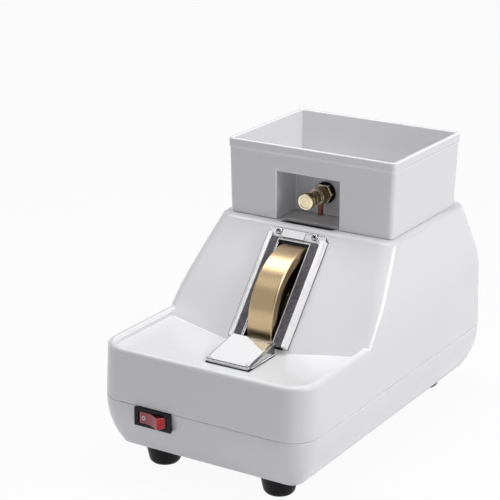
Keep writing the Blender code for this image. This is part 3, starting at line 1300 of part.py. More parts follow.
def motor():
    centre = (0.0, MOTOR_Y, MOTOR_Z)
    half = STATOR_LENGTH / 2
    stator = tube("motor_stator", "X", centre, -half, half, MOTOR_RADIUS, STATOR_BORE, TURN_STEPS * 2)
    piece(stator, "iron", centre)
    for side, name in ((-1, "motor_cover_left"), (1, "motor_cover_right")):
        near = side * (half + GAP)
        far = side * (half + GAP + END_COVER_LENGTH)
        wall = side * END_COVER_WALL
        shoulder = MOTOR_RADIUS - END_COVER_LENGTH / 3
        profile = [
            (near, MOTOR_RADIUS - END_COVER_WALL), (near, MOTOR_RADIUS),
            (far - side * END_COVER_LENGTH / 3, MOTOR_RADIUS),
            (far, shoulder), (far, MOTOR_SHAFT_RADIUS + SHAFT_CLEARANCE),
            (far - wall, MOTOR_SHAFT_RADIUS + SHAFT_CLEARANCE), (far - wall, shoulder - END_COVER_WALL / 2),
            (far - side * END_COVER_LENGTH / 3 - wall / 2, MOTOR_RADIUS - END_COVER_WALL),
        ]
        cover = turned(name, "X", centre, profile, TURN_STEPS, is_ring=True)
        for i in range(VENTS):
            angle = math.tau * (i + 0.5) / VENTS
            vent = box("vent", (min(far - wall, far) - OVERRUN, VENT_INNER, -VENT_WIDTH / 2),
                       (max(far - wall, far) + OVERRUN, VENT_OUTER, VENT_WIDTH / 2))
            vent.data.transform(Matrix.Translation(Vector(centre)) @ Matrix.Rotation(angle, 4, "X"))
            cut(cover, vent)
        piece(cover, "aluminium", centre)

    axis = axis_empty("motor_axis", centre)
    shaft_left = -PULLEY_PLACE - PULLEY_WIDTH / 2 - MOTOR_SHAFT_RADIUS / 5
    cover_end = half + GAP + END_COVER_LENGTH
    fan_start = cover_end + GAP * 3
    shaft_right = fan_start + FAN_WIDTH
    core = ROTOR_LENGTH / 2
    rotor = turned("motor_rotor", "X", centre, [
        (shaft_left, MOTOR_SHAFT_RADIUS), (-core, MOTOR_SHAFT_RADIUS), (-core, ROTOR_RADIUS - GAP),
        (core, ROTOR_RADIUS - GAP), (core, MOTOR_SHAFT_RADIUS), (shaft_right, MOTOR_SHAFT_RADIUS),
    ], TURN_STEPS)
    piece(rotor, "steel", centre, parent=axis)
    bore = MOTOR_SHAFT_RADIUS + GAP
    fan = tube("motor_fan", "X", centre, fan_start, fan_start + FAN_WIDTH, FAN_HUB_RADIUS, bore)
    plate_end = fan_start + FAN_BACKPLATE
    join(fan, tube("backplate", "X", centre, fan_start, plate_end, FAN_RADIUS, FAN_HUB_RADIUS - FAN_BLADE))
    for i in range(FAN_BLADES):
        angle = math.tau * i / FAN_BLADES
        blade = box("blade", (plate_end - FAN_BACKPLATE / 2, FAN_HUB_RADIUS - FAN_BLADE, -FAN_BLADE / 2),
                    (fan_start + FAN_WIDTH - FAN_BLADE, FAN_RADIUS - FAN_BLADE, FAN_BLADE / 2))
        blade.data.transform(Matrix.Translation(Vector(centre)) @ Matrix.Rotation(angle, 4, "X"))
        join(fan, blade)
    piece(fan, "black_plastic", (fan_start, MOTOR_Y, MOTOR_Z), parent=axis)
    pulley("motor_pulley", centre, MOTOR_PULLEY_RADIUS, MOTOR_SHAFT_RADIUS, axis)

    foot_low = PLATE_TOP + GAP
    high = MOTOR_Z - MOTOR_RADIUS * (1 - CRADLE_WRAP_SHARE)
    cradle = box("motor_cradle", (-CRADLE_WIDTH / 2, MOTOR_Y - CRADLE_DEPTH / 2, foot_low),
                 (CRADLE_WIDTH / 2, MOTOR_Y + CRADLE_DEPTH / 2, high))
    cut(cradle, cylinder("saddle", "X", centre, -CRADLE_WIDTH, CRADLE_WIDTH, MOTOR_RADIUS + GAP, TURN_STEPS * 2))
    return piece(cradle, "steel", (0.0, MOTOR_Y, foot_low))


def drive_plate():
    plate = box("drive_plate", (-PLATE_WIDTH / 2, PLATE_FRONT_Y, PLATE_BOTTOM),
                (PLATE_WIDTH / 2, PLATE_REAR_Y, PLATE_TOP))
    cut(plate, cylinder("drain", "Z", (0.0, WHEEL_Y, 0.0), PLATE_BOTTOM - OVERRUN, PLATE_TOP + OVERRUN,
                        DRAIN_FLANGE_RADIUS + WALL))
    return piece(plate, "steel", (0.0, PLATE_FRONT_Y, PLATE_BOTTOM))


def electrical_pieces():
    x = CAPACITOR_PLACE_X
    y = FRONT + CAPACITOR_PLACE_Y
    low = FLOOR_TOP + GAP
    edge = CAPACITOR_RADIUS / 10
    can = turned("capacitor", "Z", (x, y, 0.0), [
        (low, CAPACITOR_RADIUS - edge), (low + edge, CAPACITOR_RADIUS),
        (low + CAPACITOR_LENGTH - edge, CAPACITOR_RADIUS), (low + CAPACITOR_LENGTH, CAPACITOR_RADIUS - edge),
    ], TURN_STEPS)
    piece(can, "aluminium", (x, y, low))

    y = FRONT + TERMINAL_PLACE_Y
    block = box("terminal_block", (-TERMINAL_WIDTH / 2, y, low), (TERMINAL_WIDTH / 2, y + TERMINAL_DEPTH,
                                                                  low + TERMINAL_HEIGHT))
    for i in range(TERMINAL_WAYS):
        x = TERMINAL_WIDTH * ((i + 0.5) / TERMINAL_WAYS - 0.5)
        cut(block, cylinder("well", "Z", (x, y + TERMINAL_DEPTH / 2, 0.0),
                            low + TERMINAL_HEIGHT - TERMINAL_WELL_DEPTH, low + TERMINAL_HEIGHT + OVERRUN,
                            TERMINAL_WELL_RADIUS, SMALL_STEPS))
    piece(block, "black_plastic", (0.0, y, low))


def inlet_box(name, width, height, start, end):
    return box(name, (INLET_PLACE_X - width / 2, start, INLET_PLACE_Z - height / 2),
               (INLET_PLACE_X + width / 2, end, INLET_PLACE_Z + height / 2))


def power_inlet():
    """Mains inlet in the rear wall: frame, body behind the wall, socket with three flat pins."""
    near = REAR + GAP
    outer = near + INLET_FLANGE
    body = inlet_box("power_inlet", INLET_WIDTH, INLET_HEIGHT, near, outer)
    back = near - INLET_BODY_DEPTH
    join(body, inlet_box("body", INLET_BODY_WIDTH, INLET_BODY_HEIGHT, back, near + INLET_FLANGE / 2))
    bottom = outer - INLET_SOCKET_DEPTH
    half_width = INLET_SOCKET_WIDTH / 2
    half_height = INLET_SOCKET_HEIGHT / 2
    z = INLET_PLACE_Z
    outline = [
        (INLET_PLACE_X - half_width, z - half_height), (INLET_PLACE_X + half_width, z - half_height),
        (INLET_PLACE_X + half_width, z + half_height - INLET_CORNER),
        (INLET_PLACE_X + half_width - INLET_CORNER, z + half_height),
        (INLET_PLACE_X - half_width + INLET_CORNER, z + half_height),
        (INLET_PLACE_X - half_width, z + half_height - INLET_CORNER),
    ]
    cut(body, prism("socket", outline, "Y", bottom, outer + OVERRUN))
    for place in (-1, 0, 1):
        x = INLET_PLACE_X + place * INLET_PIN_SPACING
        raise_by = INLET_EARTH_RAISE if place == 0 else 0.0
        low = z - INLET_PIN_HEIGHT / 2 + raise_by - INLET_EARTH_RAISE / 2
        join(body, box("pin", (x - INLET_PIN_WIDTH / 2, bottom - OVERRUN, low),
                       (x + INLET_PIN_WIDTH / 2, outer - INLET_PIN_RECESS, low + INLET_PIN_HEIGHT)))
    return piece(body, "black_plastic", (INLET_PLACE_X, near, z))


clear_scene()
lower_shell()
upper_shell()
feet()
shell_screws()
water_tank()
drip_valve()
splash_guard()
front_rest()
power_switch()
splash_chamber()
grinding_wheel(axis_empty("wheel_axis", (0.0, WHEEL_Y, WHEEL_Z)))
spindle_housing()
drive_belt()
motor()
drive_plate()
electrical_pieces()
power_inlet()
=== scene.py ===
"""Looks of the hand lens edger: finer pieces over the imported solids, materials, studio and camera."""

import json
import math

import bmesh
import bpy
from mathutils import Matrix, Vector


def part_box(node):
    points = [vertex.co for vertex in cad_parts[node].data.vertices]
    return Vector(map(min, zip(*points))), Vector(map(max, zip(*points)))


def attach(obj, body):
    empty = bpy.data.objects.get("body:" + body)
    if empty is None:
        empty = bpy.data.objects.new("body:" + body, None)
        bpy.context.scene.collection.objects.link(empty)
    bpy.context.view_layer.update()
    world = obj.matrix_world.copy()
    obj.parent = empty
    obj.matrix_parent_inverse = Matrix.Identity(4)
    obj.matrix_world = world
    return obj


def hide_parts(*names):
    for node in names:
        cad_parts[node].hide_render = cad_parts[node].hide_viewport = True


MM = 0.001
RIGHTWARD = Vector((1, 0, 0))
REARWARD = Vector((0, 1, 0))
UP = Vector((0, 0, 1))

# Camera, at the photograph's viewing angle, in metres and in millimetres of lens and sensor
CAMERA_PLACE = (0.6057, -1.0799, 0.5456)
CAMERA_TARGET = (0.0, -0.0771, 0.1614)
CAMERA_ROLL = math.radians(0.54)
CAMERA_LENS = 124.6
CAMERA_SENSOR = 36.0
CAMERA_REACH = 20.0

# Floor: half its side in metres, its own finish, and how much plain white the camera sees in it
FLOOR_REACH = 40.0
FLOOR_COLOUR = (0.695, 0.685, 0.725, 1.0)
FLOOR_ROUGHNESS = 0.7
FLOOR_WHITE_SHARE = 0.94

# World: white in directions below HORIZON_LOW and dim above HORIZON_HIGH, by the direction's height
WORLD_COLOUR = (0.98, 0.975, 1.0, 1.0)
HORIZON_LOW = 0.145
HORIZON_HIGH = 0.18
HORIZON_LIGHT = 0.95
SKY_LIGHT = 0.165

# Lamps: name, place, the point each is turned to and its size, in metres, and its power in watts
HOUSING_MIDDLE = (0.0, 0.0, 0.12)
SLOPE_MIDDLE = (0.0, 0.0, 0.16)
LAMPS = (
    ("key", (0.95, 0.0, 0.74), HOUSING_MIDDLE, (0.5, 0.5), 5.75),
    ("overhead", (-0.66, 0.10, 1.12), HOUSING_MIDDLE, (0.46, 0.42), 2.9),
    ("shoulder", (-0.59, -0.61, 1.05), SLOPE_MIDDLE, (0.36, 0.36), 0.5),
    ("left front", (-0.59, -0.98, 0.66), SLOPE_MIDDLE, (0.6, 0.5), 0.42),
    ("top", (0.0, 0.14, 1.38), HOUSING_MIDDLE, (0.6, 0.5), 8.4),
)

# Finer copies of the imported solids
EDGE_ROUNDS_MM = {
    "upper_shell": 0.6, "lower_shell": 0.5, "water_tank": 0.9, "splash_guard": 0.35, "front_rest": 0.3,
    "grinding_wheel": 0.4, "valve_body": 0.28, "valve_locknut": 0.6, "valve_washer": 0.3,
    "valve_spout": 0.2, "switch_body": 0.3, "valve_inner_nut": 0.3, "power_inlet": 0.4, "wheel_nut": 0.4,
    "wheel_flange_outer": 0.3, "wheel_flange_inner": 0.3, "guard_label": 0.08, "splash_chamber": 0.3,
    "drain_spigot": 0.3, "tank_screw_left": 0.2, "tank_screw_right": 0.2,
}
EDGE_SEGMENTS = 3
SAME_POINT = 0.002 * MM
FLAT_ANGLE = math.radians(0.3)
SHARP_ANGLE = math.radians(32)
# Merging the flat faces of these nodes would tear their edges' bevels
KEPT_TRIANGLES = {"lower_shell"}

# Valve knob: shares of its radius or length, the ease of its corners, and its material slots, the rim's
# one for a painted highlight
KNOB_DISC_RADIUS = 0.66
KNOB_RIM_INNER = 0.74
KNOB_RIM_MIDDLE = 0.7
KNOB_EASED_RADIUS = 0.9
KNOB_FACE_DEPTH = 0.08
KNOB_DISH_DEPTH = 0.06
KNOB_EASE_FRONT = 0.1
KNOB_EASE_BACK = 0.92
KNOB_GROOVE_PLACES = (0.35, 0.5, 0.65)
KNOB_GROOVE_HALF = 0.08
KNOB_GROOVE_RADIUS = 0.93
KNOB_CORNER_EASE = 0.3 * MM
KNOB_FACE_SLOT = 1
KNOB_RIM_HIGHLIGHT_SLOT = 2

# Screw heads: shares of the head's radius or height, then sizes
SCREW_SHANK = 0.5
SCREW_CROWN = 0.72
SCREW_EASE = 0.3
SCREW_SHOULDER = 0.35
SCREW_ARM = 0.62
SCREW_ARM_HALF = 0.24
SCREW_SKIRT = 1.18
SCREW_SKIRT_HEIGHT = 0.12 * MM
SCREW_OUTSIDE = 1.02
SCREW_FACE_GAP = 0.05 * MM
SCREW_STEPS = 40
GUARD_SCREW_HEAD = 1.2 * MM
GUARD_SCREW_RECESS = 0.7 * MM
REST_SCREW_HEAD = 0.9 * MM
REST_SCREW_RECESS = 0.5 * MM

# Rocker: how far its flat cap stands out from the pivot, shares of its reach to each side, and drops as
# shares of how far the cap stands out
ROCKER_FLUSH = 1.3 * MM
ROCKER_TIP_SHARE = 0.62
ROCKER_FLAT_SHARE = 0.42
ROCKER_MARK_SHARE = 0.66
ROCKER_CAP_SHARE = 0.93
ROCKER_CAP_DROP = 0.6
ROCKER_END_SHARE = 0.97
ROCKER_END_DROP = 0.4
ROCKER_CURVE_STEPS = 8
ROCKER_CURVE_POWER = 1.7
ROCKER_EDGE = 0.3 * MM
# Its hidden back, clear of the switch body: shares of its reach, below zero to the left, and its depth
ROCKER_BACK = ((0.97, 0.15), (0.58, 0.52), (-0.38, 0.96), (-1.0, 0.3))
# Faces in front that turn less to the right than this get a painted sheen
ROCKER_SHEEN_TURN = 0.2
# Its material slots, after the first one for its red end: painted shade, painted sheen and painted edge
# highlights
ROCKER_PAINTED_SHADE_SLOT = 1
ROCKER_SHEEN_SLOT = 2
ROCKER_HIGHLIGHT_SLOT = 3
# The ring that marks off
MARK_OUTER = 1.6 * MM
MARK_INNER = 1.0 * MM
MARK_PROUD = 0.08 * MM

# Front rest: white sheet, tape, a dark strip of painted shade, and pad
SHEET_EDGE = 0.08 * MM
SHEET_FRONT_GAP = 0.4 * MM
SHEET_CUT_SHIFT = 5.5 * MM
SHEET_CUT_RISE = 3.0 * MM
REST_WALL = 2.0 * MM
TAPE_THICKNESS = 0.3 * MM
TAPE_SIDE_GAP = 0.3 * MM
TAPE_FRONT_LOW = 0.25 * MM
TAPE_FRONT_HIGH = 1.75 * MM
TAPE_FRONT_OUT = 0.15 * MM
TAPE_FRONT_GAP = 0.02 * MM
SHADE_STRIP_FRONT = 1.2 * MM
SHADE_STRIP_BACK = 0.3 * MM
SHADE_STRIP_BELOW_TOP = 2.4 * MM
PAD_CORNER_X = -4.8 * MM
PAD_CORNER_SHARE = 0.54
PAD_BACK_GAP = 1.0 * MM
PAD_BELOW_SHEET = 2.5 * MM
PAD_THICKNESS = 0.3 * MM

# Splash guard: its slot, the window below it, the painted highlight and painted shade lines of its cut
# edges, its dark parts of painted shade and its white parts
GUARD_SLOT_HALF = 13.2 * MM
GUARD_SLOT_INSET = 9.4 * MM
WINDOW_HALF = 20.0 * MM
WINDOW_INSET = 7.4 * MM
GUARD_CORNER_CUT = 2.5 * MM
HIGHLIGHT_LINE = 0.55 * MM
SHADE_LINE = 0.3 * MM
LINE_PROUD = 0.06 * MM
SHADE_SHEET_DEPTH = 3.0 * MM
SHADE_SHEET_THICKNESS = 0.15 * MM
SHADE_FILM_LOW = 0.01 * MM
SHADE_FILM_HIGH = 0.04 * MM
SHADE_LIP_WIDTH = 2.5 * MM
SHADE_LIP_TOP_GAP = 0.3 * MM
SHADE_LIP_BASE_GAP = 0.9 * MM
CORE_GAP = 0.6 * MM
CORE_HEAD_GAP = 4.0 * MM

# Feet, as shares of the foot's height, of its top's or base's radius, or of its sole's ease
FOOT_BASE_SHARE = 0.78
FOOT_EASE = 0.24
FOOT_CORNER_EASE = 0.8
FOOT_COLLAR = 0.95
FOOT_RECESS_HEIGHT = 0.45
FOOT_RECESS_RADIUS = 0.36
FOOT_STEPS = 72

# How close to an edge of a box a point counts as being on it, and how square to a direction a face
# counts as facing it
AT_EDGE = 0.1 * MM
FACING = 0.9
# The part of a noise's range that is spread over the whole of what it drives
NOISE_LOW = 0.3
NOISE_HIGH = 0.7
# How deep the grain of a plain metal is
METAL_GRAIN_DEPTH = 0.004 * MM
# How much of an outline's side one eased corner may take
EASE_LIMIT = 0.45

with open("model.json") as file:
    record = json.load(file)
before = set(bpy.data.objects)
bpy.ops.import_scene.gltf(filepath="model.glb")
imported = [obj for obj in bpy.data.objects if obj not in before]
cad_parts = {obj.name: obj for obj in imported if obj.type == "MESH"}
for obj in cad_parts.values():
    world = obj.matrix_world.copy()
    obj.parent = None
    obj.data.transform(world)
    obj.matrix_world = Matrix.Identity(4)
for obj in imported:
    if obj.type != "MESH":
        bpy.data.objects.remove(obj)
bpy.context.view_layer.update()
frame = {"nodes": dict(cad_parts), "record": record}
NODES = frame["nodes"]
RECORD = frame["record"]
SLOT_OF = {part["node"]: part["material_slot"] for part in RECORD["subparts"]}
BODY_OF = {node: body for body, nodes in RECORD["behaviour"]["bodies"].items() for node in nodes}
JOINTS = {joint["name"]: joint for joint in RECORD["behaviour"]["joints"]}


class Shader:
    """A node material with a Principled BSDF, and short ways to add the nodes it needs."""

    def __init__(self, name):
        self.material = bpy.data.materials.new(name)
        self.material.use_nodes = True
        self.nodes = self.material.node_tree.nodes
        self.links = self.material.node_tree.links
        self.surface = self.nodes["Principled BSDF"]
        self.output = self.nodes["Material Output"]

    def node(self, kind, **settings):
        made = self.nodes.new(kind)
        for key, value in settings.items():
            setattr(made, key, value)
        return made

    def link(self, source, target):
        self.links.new(source, target)

    def set(self, **values):
        for key, value in values.items():
            self.surface.inputs[key.replace("_", " ")].default_value = value

    def noise(self, scale, detail=2.0):
        made = self.node("ShaderNodeTexNoise")
        made.inputs["Scale"].default_value = scale
        made.inputs["Detail"].default_value = detail
        place = self.node("ShaderNodeTexCoord")
        self.link(place.outputs["Object"], made.inputs["Vector"])
        return made.outputs["Fac"]

    def spread(self, value, low, high):
        """Maps the middle of a noise to the range from low to high."""
        made = self.node("ShaderNodeMapRange")
        made.inputs["From Min"].default_value = NOISE_LOW
        made.inputs["From Max"].default_value = NOISE_HIGH
        made.inputs["To Min"].default_value = low
        made.inputs["To Max"].default_value = high
        self.link(value, made.inputs["Value"])
        return made.outputs["Result"]

    def two_tone(self, value, first, second):
        """Mixes two base colours by the middle of a noise."""
        made = self.node("ShaderNodeMix", data_type="RGBA")
        made.inputs["A"].default_value = (*first, 1.0)
        made.inputs["B"].default_value = (*second, 1.0)
        self.link(self.spread(value, 0.0, 1.0), made.inputs["Factor"])
        self.link(made.outputs["Result"], self.surface.inputs["Base Color"])

    def rough(self, value, low, high):
        self.link(self.spread(value, low, high), self.surface.inputs["Roughness"])

    def bump(self, value, depth):
        made = self.node("ShaderNodeBump")
        made.inputs["Distance"].default_value = depth
        made.inputs["Strength"].default_value = 1.0
        self.link(value, made.inputs["Height"])
        self.link(made.outputs["Normal"], self.surface.inputs["Normal"])

    def mixed(self, factor, second):
        """Mixes the surface with another shader and sends the result to the output."""
        made = self.node("ShaderNodeMixShader")
        self.link(factor, made.inputs["Fac"])
        self.link(self.surface.outputs["BSDF"], made.inputs[1])
        self.link(second, made.inputs[2])
        self.link(made.outputs["Shader"], self.output.inputs["Surface"])


def white_plastic():
    """Glossy moulded ABS: an even white with faint clouding, and a barely uneven gloss."""
    made = Shader("white_plastic")
    made.set(IOR=1.5)
    made.two_tone(made.noise(7.0, detail=1.0), (0.795, 0.795, 0.812), (0.815, 0.815, 0.828))
    made.rough(made.noise(22.0), 0.17, 0.21)
    return made.material


def clear_plastic():
    """Acrylic that bends what is seen through it and lets the lamps through to what is behind."""
    made = Shader("clear_plastic")
    made.set(IOR=1.49, Transmission_Weight=0.975, Base_Color=(1.0, 1.0, 1.0, 1.0))
    made.rough(made.noise(30.0), 0.0, 0.006)
    path = made.node("ShaderNodeLightPath")
    through = made.node("ShaderNodeBsdfTransparent")
    through.inputs["Color"].default_value = (0.95, 0.95, 0.95, 1.0)
    made.mixed(path.outputs["Is Shadow Ray"], through.outputs["BSDF"])
    return made.material


def grained(made, first, second, rough, grain, depth):
    """Gives a shader two tones, a roughness range and a bump, all from one fine noise."""
    value = made.noise(grain, detail=3.0)
    made.two_tone(value, first, second)
    made.rough(value, *rough)
    made.bump(value, depth)
    return made.material


def metal(name, first, second, rough, grain, depth=METAL_GRAIN_DEPTH):
    made = Shader(name)
    made.set(Metallic=1.0)
    return grained(made, first, second, rough, grain, depth)


def plastic(name, first, second, rough, grain, depth=0.0, gloss=0.5):
    made = Shader(name)
    made.set(Specular_IOR_Level=gloss)
    return grained(made, first, second, rough, grain, depth)


# Two colours, the range of roughness, the noise's scale, the bump's depth and the gloss
MATERIALS = {
    "white_plastic": white_plastic(),
    "clear_plastic": clear_plastic(),
    "brass": metal("brass", (0.27, 0.20, 0.09), (0.20, 0.14, 0.06), (0.05, 0.10), 500.0),
    "wheel_metal": metal("wheel_metal", (0.78, 0.60, 0.37), (0.58, 0.42, 0.23), (0.26, 0.34), 1800.0,
                         depth=0.018 * MM),
    "steel": metal("steel", (0.74, 0.74, 0.75), (0.66, 0.66, 0.68), (0.12, 0.22), 300.0),
    "iron": plastic("iron", (0.07, 0.07, 0.075), (0.10, 0.10, 0.10), (0.45, 0.6), 700.0,
                    depth=0.05 * MM),
    "aluminium": metal("aluminium", (0.72, 0.72, 0.73), (0.64, 0.64, 0.66), (0.35, 0.5), 400.0),
    "black_plastic": plastic("black_plastic", (0.008, 0.009, 0.012), (0.013, 0.014, 0.018), (0.22, 0.35),
                             900.0, depth=0.005 * MM, gloss=0.2),
    "dark_plastic": plastic("dark_plastic", (0.05, 0.05, 0.055), (0.065, 0.065, 0.07), (0.4, 0.55), 600.0,
                            depth=0.01 * MM),
    "rubber": plastic("rubber", (0.004, 0.004, 0.005), (0.007, 0.007, 0.008), (0.38, 0.5), 800.0,
                      depth=0.01 * MM, gloss=0.15),
    "copper": metal("copper", (0.36, 0.17, 0.11), (0.24, 0.10, 0.07), (0.22, 0.38), 400.0),
    "red_plastic": plastic("red_plastic", (0.56, 0.006, 0.014), (0.66, 0.010, 0.020), (0.14, 0.22), 200.0,
                           depth=0.002 * MM, gloss=0.4),
    "label": plastic("label", (0.86, 0.86, 0.875), (0.89, 0.89, 0.90), (0.30, 0.42), 500.0,
                     depth=0.004 * MM),
}
PALE_BRASS = metal("pale_brass", (0.82, 0.73, 0.50), (0.72, 0.63, 0.42), (0.16, 0.26), 600.0)
# A pale brass for the bevelled edges of brass pieces and the knob's rim: painted highlights
BRASS_HIGHLIGHT = metal("brass_highlight", (0.95, 0.88, 0.68), (0.90, 0.82, 0.60), (0.2, 0.3), 600.0)
# A pinkish red for a painted sheen on the rocker's cap
PAINTED_SHEEN_RED = plastic("painted_sheen_red", (0.32, 0.055, 0.075), (0.40, 0.085, 0.105), (0.25, 0.35), 300.0,
                   depth=0.002 * MM)
# A pale red for painted highlights on the rocker's edges
RED_HIGHLIGHT = plastic("red_highlight", (0.66, 0.20, 0.22), (0.72, 0.26, 0.28), (0.2, 0.3), 300.0)
# A dark red for painted shade on the rocker's top and bottom
PAINTED_SHADE_RED = plastic("painted_shade_red", (0.11, 0.004, 0.007), (0.15, 0.006, 0.010), (0.3, 0.4), 200.0,
                     depth=0.002 * MM, gloss=0.2)
# A lighter white for the bevelled edges of white plastic: painted highlights
WHITE_EDGE_HIGHLIGHT = plastic("white_edge_highlight", (0.93, 0.93, 0.94), (0.95, 0.95, 0.96), (0.14, 0.18), 60.0)
SPONGE = plastic("sponge", (0.42, 0.34, 0.22), (0.56, 0.47, 0.32), (0.8, 0.9), 900.0, depth=0.15 * MM)
# A dark grey for the sheets, film and lines of painted shade on and under the guard
SHADE_GREY = plastic("painted_shade_grey", (0.085, 0.080, 0.096), (0.150, 0.143, 0.168), (0.5, 0.6), 350.0, gloss=0.2)
MARK_WHITE = plastic("mark_white", (0.93, 0.92, 0.92), (0.95, 0.94, 0.94), (0.3, 0.4), 500.0,
                     depth=0.002 * MM)
# Painted highlights: a lighter copy of the finish on the bevelled edges of a node in each slot
EDGE_HIGHLIGHTS = {"white_plastic": WHITE_EDGE_HIGHLIGHT, "brass": BRASS_HIGHLIGHT}


def stand_for(piece, node, material=None):
    """Puts a finer piece in a node's place, on its body and in its finish."""
    slot = SLOT_OF[node]
    piece.data.materials.clear()
    piece.data.materials.append(material or MATERIALS[slot])
    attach(piece, BODY_OF[node])
    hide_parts(node)
    return piece


def object_from(name, mesh):
    made = bpy.data.objects.new(name, mesh)
    bpy.context.collection.objects.link(made)
    return made


def mesh_from(name, work):
    """Turns a finished bmesh into a mesh."""
    mesh = bpy.data.meshes.new(name)
    work.to_mesh(mesh)
    work.free()
    return mesh


def smooth(mesh):
    """Shades a mesh smooth, apart from its sharp edges."""
    mesh.shade_smooth()
    mesh.set_sharp_from_angle(angle=SHARP_ANGLE)


def edges_rounded(piece, width):
    """Rounds a piece's sharp edges, and gives back the modifier that does it."""
    modifier = piece.modifiers.new("edges", "BEVEL")
    modifier.width = width
    modifier.segments = EDGE_SEGMENTS
    modifier.limit_method = "ANGLE"
    modifier.angle_limit = SHARP_ANGLE
    return modifier


def refined(node, edge_round):
    """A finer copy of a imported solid: flat faces merged, edges rounded, smooth where it curves."""
    mesh = NODES[node].data.copy()
    work = bmesh.new()
    work.from_mesh(mesh)
    bmesh.ops.remove_doubles(work, verts=work.verts, dist=SAME_POINT)
    if node not in KEPT_TRIANGLES:
        bmesh.ops.dissolve_limit(work, angle_limit=FLAT_ANGLE, verts=work.verts, edges=work.edges)
    work.to_mesh(mesh)
    work.free()
    smooth(mesh)
    piece = object_from(node + "_fine", mesh)
    edges = edges_rounded(piece, edge_round)
    edges.use_clamp_overlap = False
    edges.harden_normals = True
    stand_for(piece, node)
    # White plastic and brass pieces get a lighter copy of their finish on their bevelled edges: painted
    # highlights
    if SLOT_OF[node] in EDGE_HIGHLIGHTS:
        mesh.materials.append(EDGE_HIGHLIGHTS[SLOT_OF[node]])
        edges.material = 1
    return piece


def eased(points, radius, steps=4):
    """An open outline in two directions with its inner corners rounded."""
    made = [points[0]]
    for before, corner, after in zip(points, points[1:], points[2:]):
        start, middle, end = Vector(before), Vector(corner), Vector(after)
        shorter = min((start - middle).length, (end - middle).length)
        reach = min(radius, shorter * EASE_LIMIT)
        near = middle + (start - middle).normalized() * reach
        far = middle + (end - middle).normalized() * reach
        for step in range(steps + 1):
            share = step / steps
            rest = 1 - share
            made.append(tuple(near * rest ** 2 + middle * 2 * share * rest + far * share ** 2))
    made.append(points[-1])
    return made


def turned(name, centre, axis, profile, steps=56):
    """A solid of revolution. The profile gives (along, radius) and starts and ends on the axis."""
    along = Vector(axis)
    across = along.orthogonal().normalized()
    other = along.cross(across)
    work = bmesh.new()
    rings = []
    for place, radius in profile:
        middle = Vector(centre) + along * place
        if radius == 0:
            rings.append([work.verts.new(middle)])
            continue
        ring = []
        for step in range(steps):
            angle = math.tau * step / steps
            outward = across * math.cos(angle) + other * math.sin(angle)
            ring.append(work.verts.new(middle + outward * radius))
        rings.append(ring)
    for low, high in zip(rings, rings[1:]):
        for step in range(steps):
            following = (step + 1) % steps
            if len(low) == 1:
                corners = (low[0], high[following], high[step])
            elif len(high) == 1:
                corners = (low[step], low[following], high[0])
            else:
                corners = (low[step], low[following], high[following], high[step])
            work.faces.new(corners)
    bmesh.ops.recalc_face_normals(work, faces=work.faces)
    mesh = mesh_from(name, work)
    smooth(mesh)
    return object_from(name, mesh)


def extruded(name, outline, low, high, place):
    """A solid with one outline swept from low to high; place turns (u, v, w) into a point."""
    work = bmesh.new()
    rings = [[work.verts.new(place(u, v, level)) for u, v in outline] for level in (low, high)]
    work.faces.new(rings[0])
    work.faces.new(rings[1])
    count = len(outline)
    for step in range(count):
        following = (step + 1) % count
        work.faces.new((rings[0][step], rings[0][following], rings[1][following], rings[1][step]))
    bmesh.ops.recalc_face_normals(work, faces=work.faces)
    mesh = mesh_from(name, work)
    smooth(mesh)
    return object_from(name, mesh)


def carved(piece, tool):
    """Cuts the tool out of the piece and removes the tool."""
    modifier = piece.modifiers.new("cut", "BOOLEAN")
    modifier.object = tool
    modifier.solver = "EXACT"
    bpy.context.view_layer.update()
    mesh = bpy.data.meshes.new_from_object(piece.evaluated_get(bpy.context.evaluated_depsgraph_get()))
    piece.modifiers.clear()
    piece.data = mesh
    bpy.data.objects.remove(tool)
    smooth(mesh)


def box_between(low, high):
    """A box as a matrix for a unit cube."""
    size = Vector(high) - Vector(low)
    return Matrix.LocRotScale(Vector(low) + size / 2, None, size)


def added(piece, material, like):
    """Finishes a piece that replaces no node and rides on the body of another one."""
    piece.data.materials.append(material)
    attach(piece, BODY_OF[like])


def loose(name, boxes, material, like):
    """Adds one piece of boxes, given as matrices for a unit cube."""
    work = bmesh.new()
    for matrix in boxes:
        bmesh.ops.create_cube(work, size=1.0, matrix=matrix)
    added(object_from(name, mesh_from(name, work)), material, like)


def valve_knob():
    """Turned knob: a pale dished disc in a rim of painted highlight, and grooves round its darker side.
    """
    low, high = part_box("valve_knob")
    radius = (high[0] - low[0]) / 2
    length = high[1] - low[1]
    centre = ((low[0] + high[0]) / 2, low[1], (low[2] + high[2]) / 2)
    dish = length * KNOB_DISH_DEPTH
    eased_radius = radius * KNOB_EASED_RADIUS
    profile = [(dish, 0.0), (dish, radius * KNOB_DISC_RADIUS), (0.0, radius * KNOB_RIM_INNER),
               (0.0, eased_radius), (length * KNOB_EASE_FRONT, radius)]
    half = length * KNOB_GROOVE_HALF
    groove_radius = radius * KNOB_GROOVE_RADIUS
    for share in KNOB_GROOVE_PLACES:
        middle = length * share
        profile += [(middle - half, radius), (middle - half / 2, groove_radius)]
        profile += [(middle + half / 2, groove_radius), (middle + half, radius)]
    profile += [(length * KNOB_EASE_BACK, radius), (length, eased_radius), (length, 0.0)]
    knob = turned("valve_knob_fine", centre, REARWARD, eased(profile, KNOB_CORNER_EASE))
    stand_for(knob, "valve_knob")
    knob.data.materials.append(PALE_BRASS)
    knob.data.materials.append(BRASS_HIGHLIGHT)
    for face in knob.data.polygons:
        apart = math.hypot(face.center.x - centre[0], face.center.z - centre[2])
        if face.center.y < low[1] + length * KNOB_FACE_DEPTH:
            # The rim takes the pale brass of a painted highlight, the face inside it the pale brass of
            # the disc
            on_rim = apart > radius * KNOB_RIM_MIDDLE
            face.material_index = KNOB_RIM_HIGHLIGHT_SLOT if on_rim else KNOB_FACE_SLOT


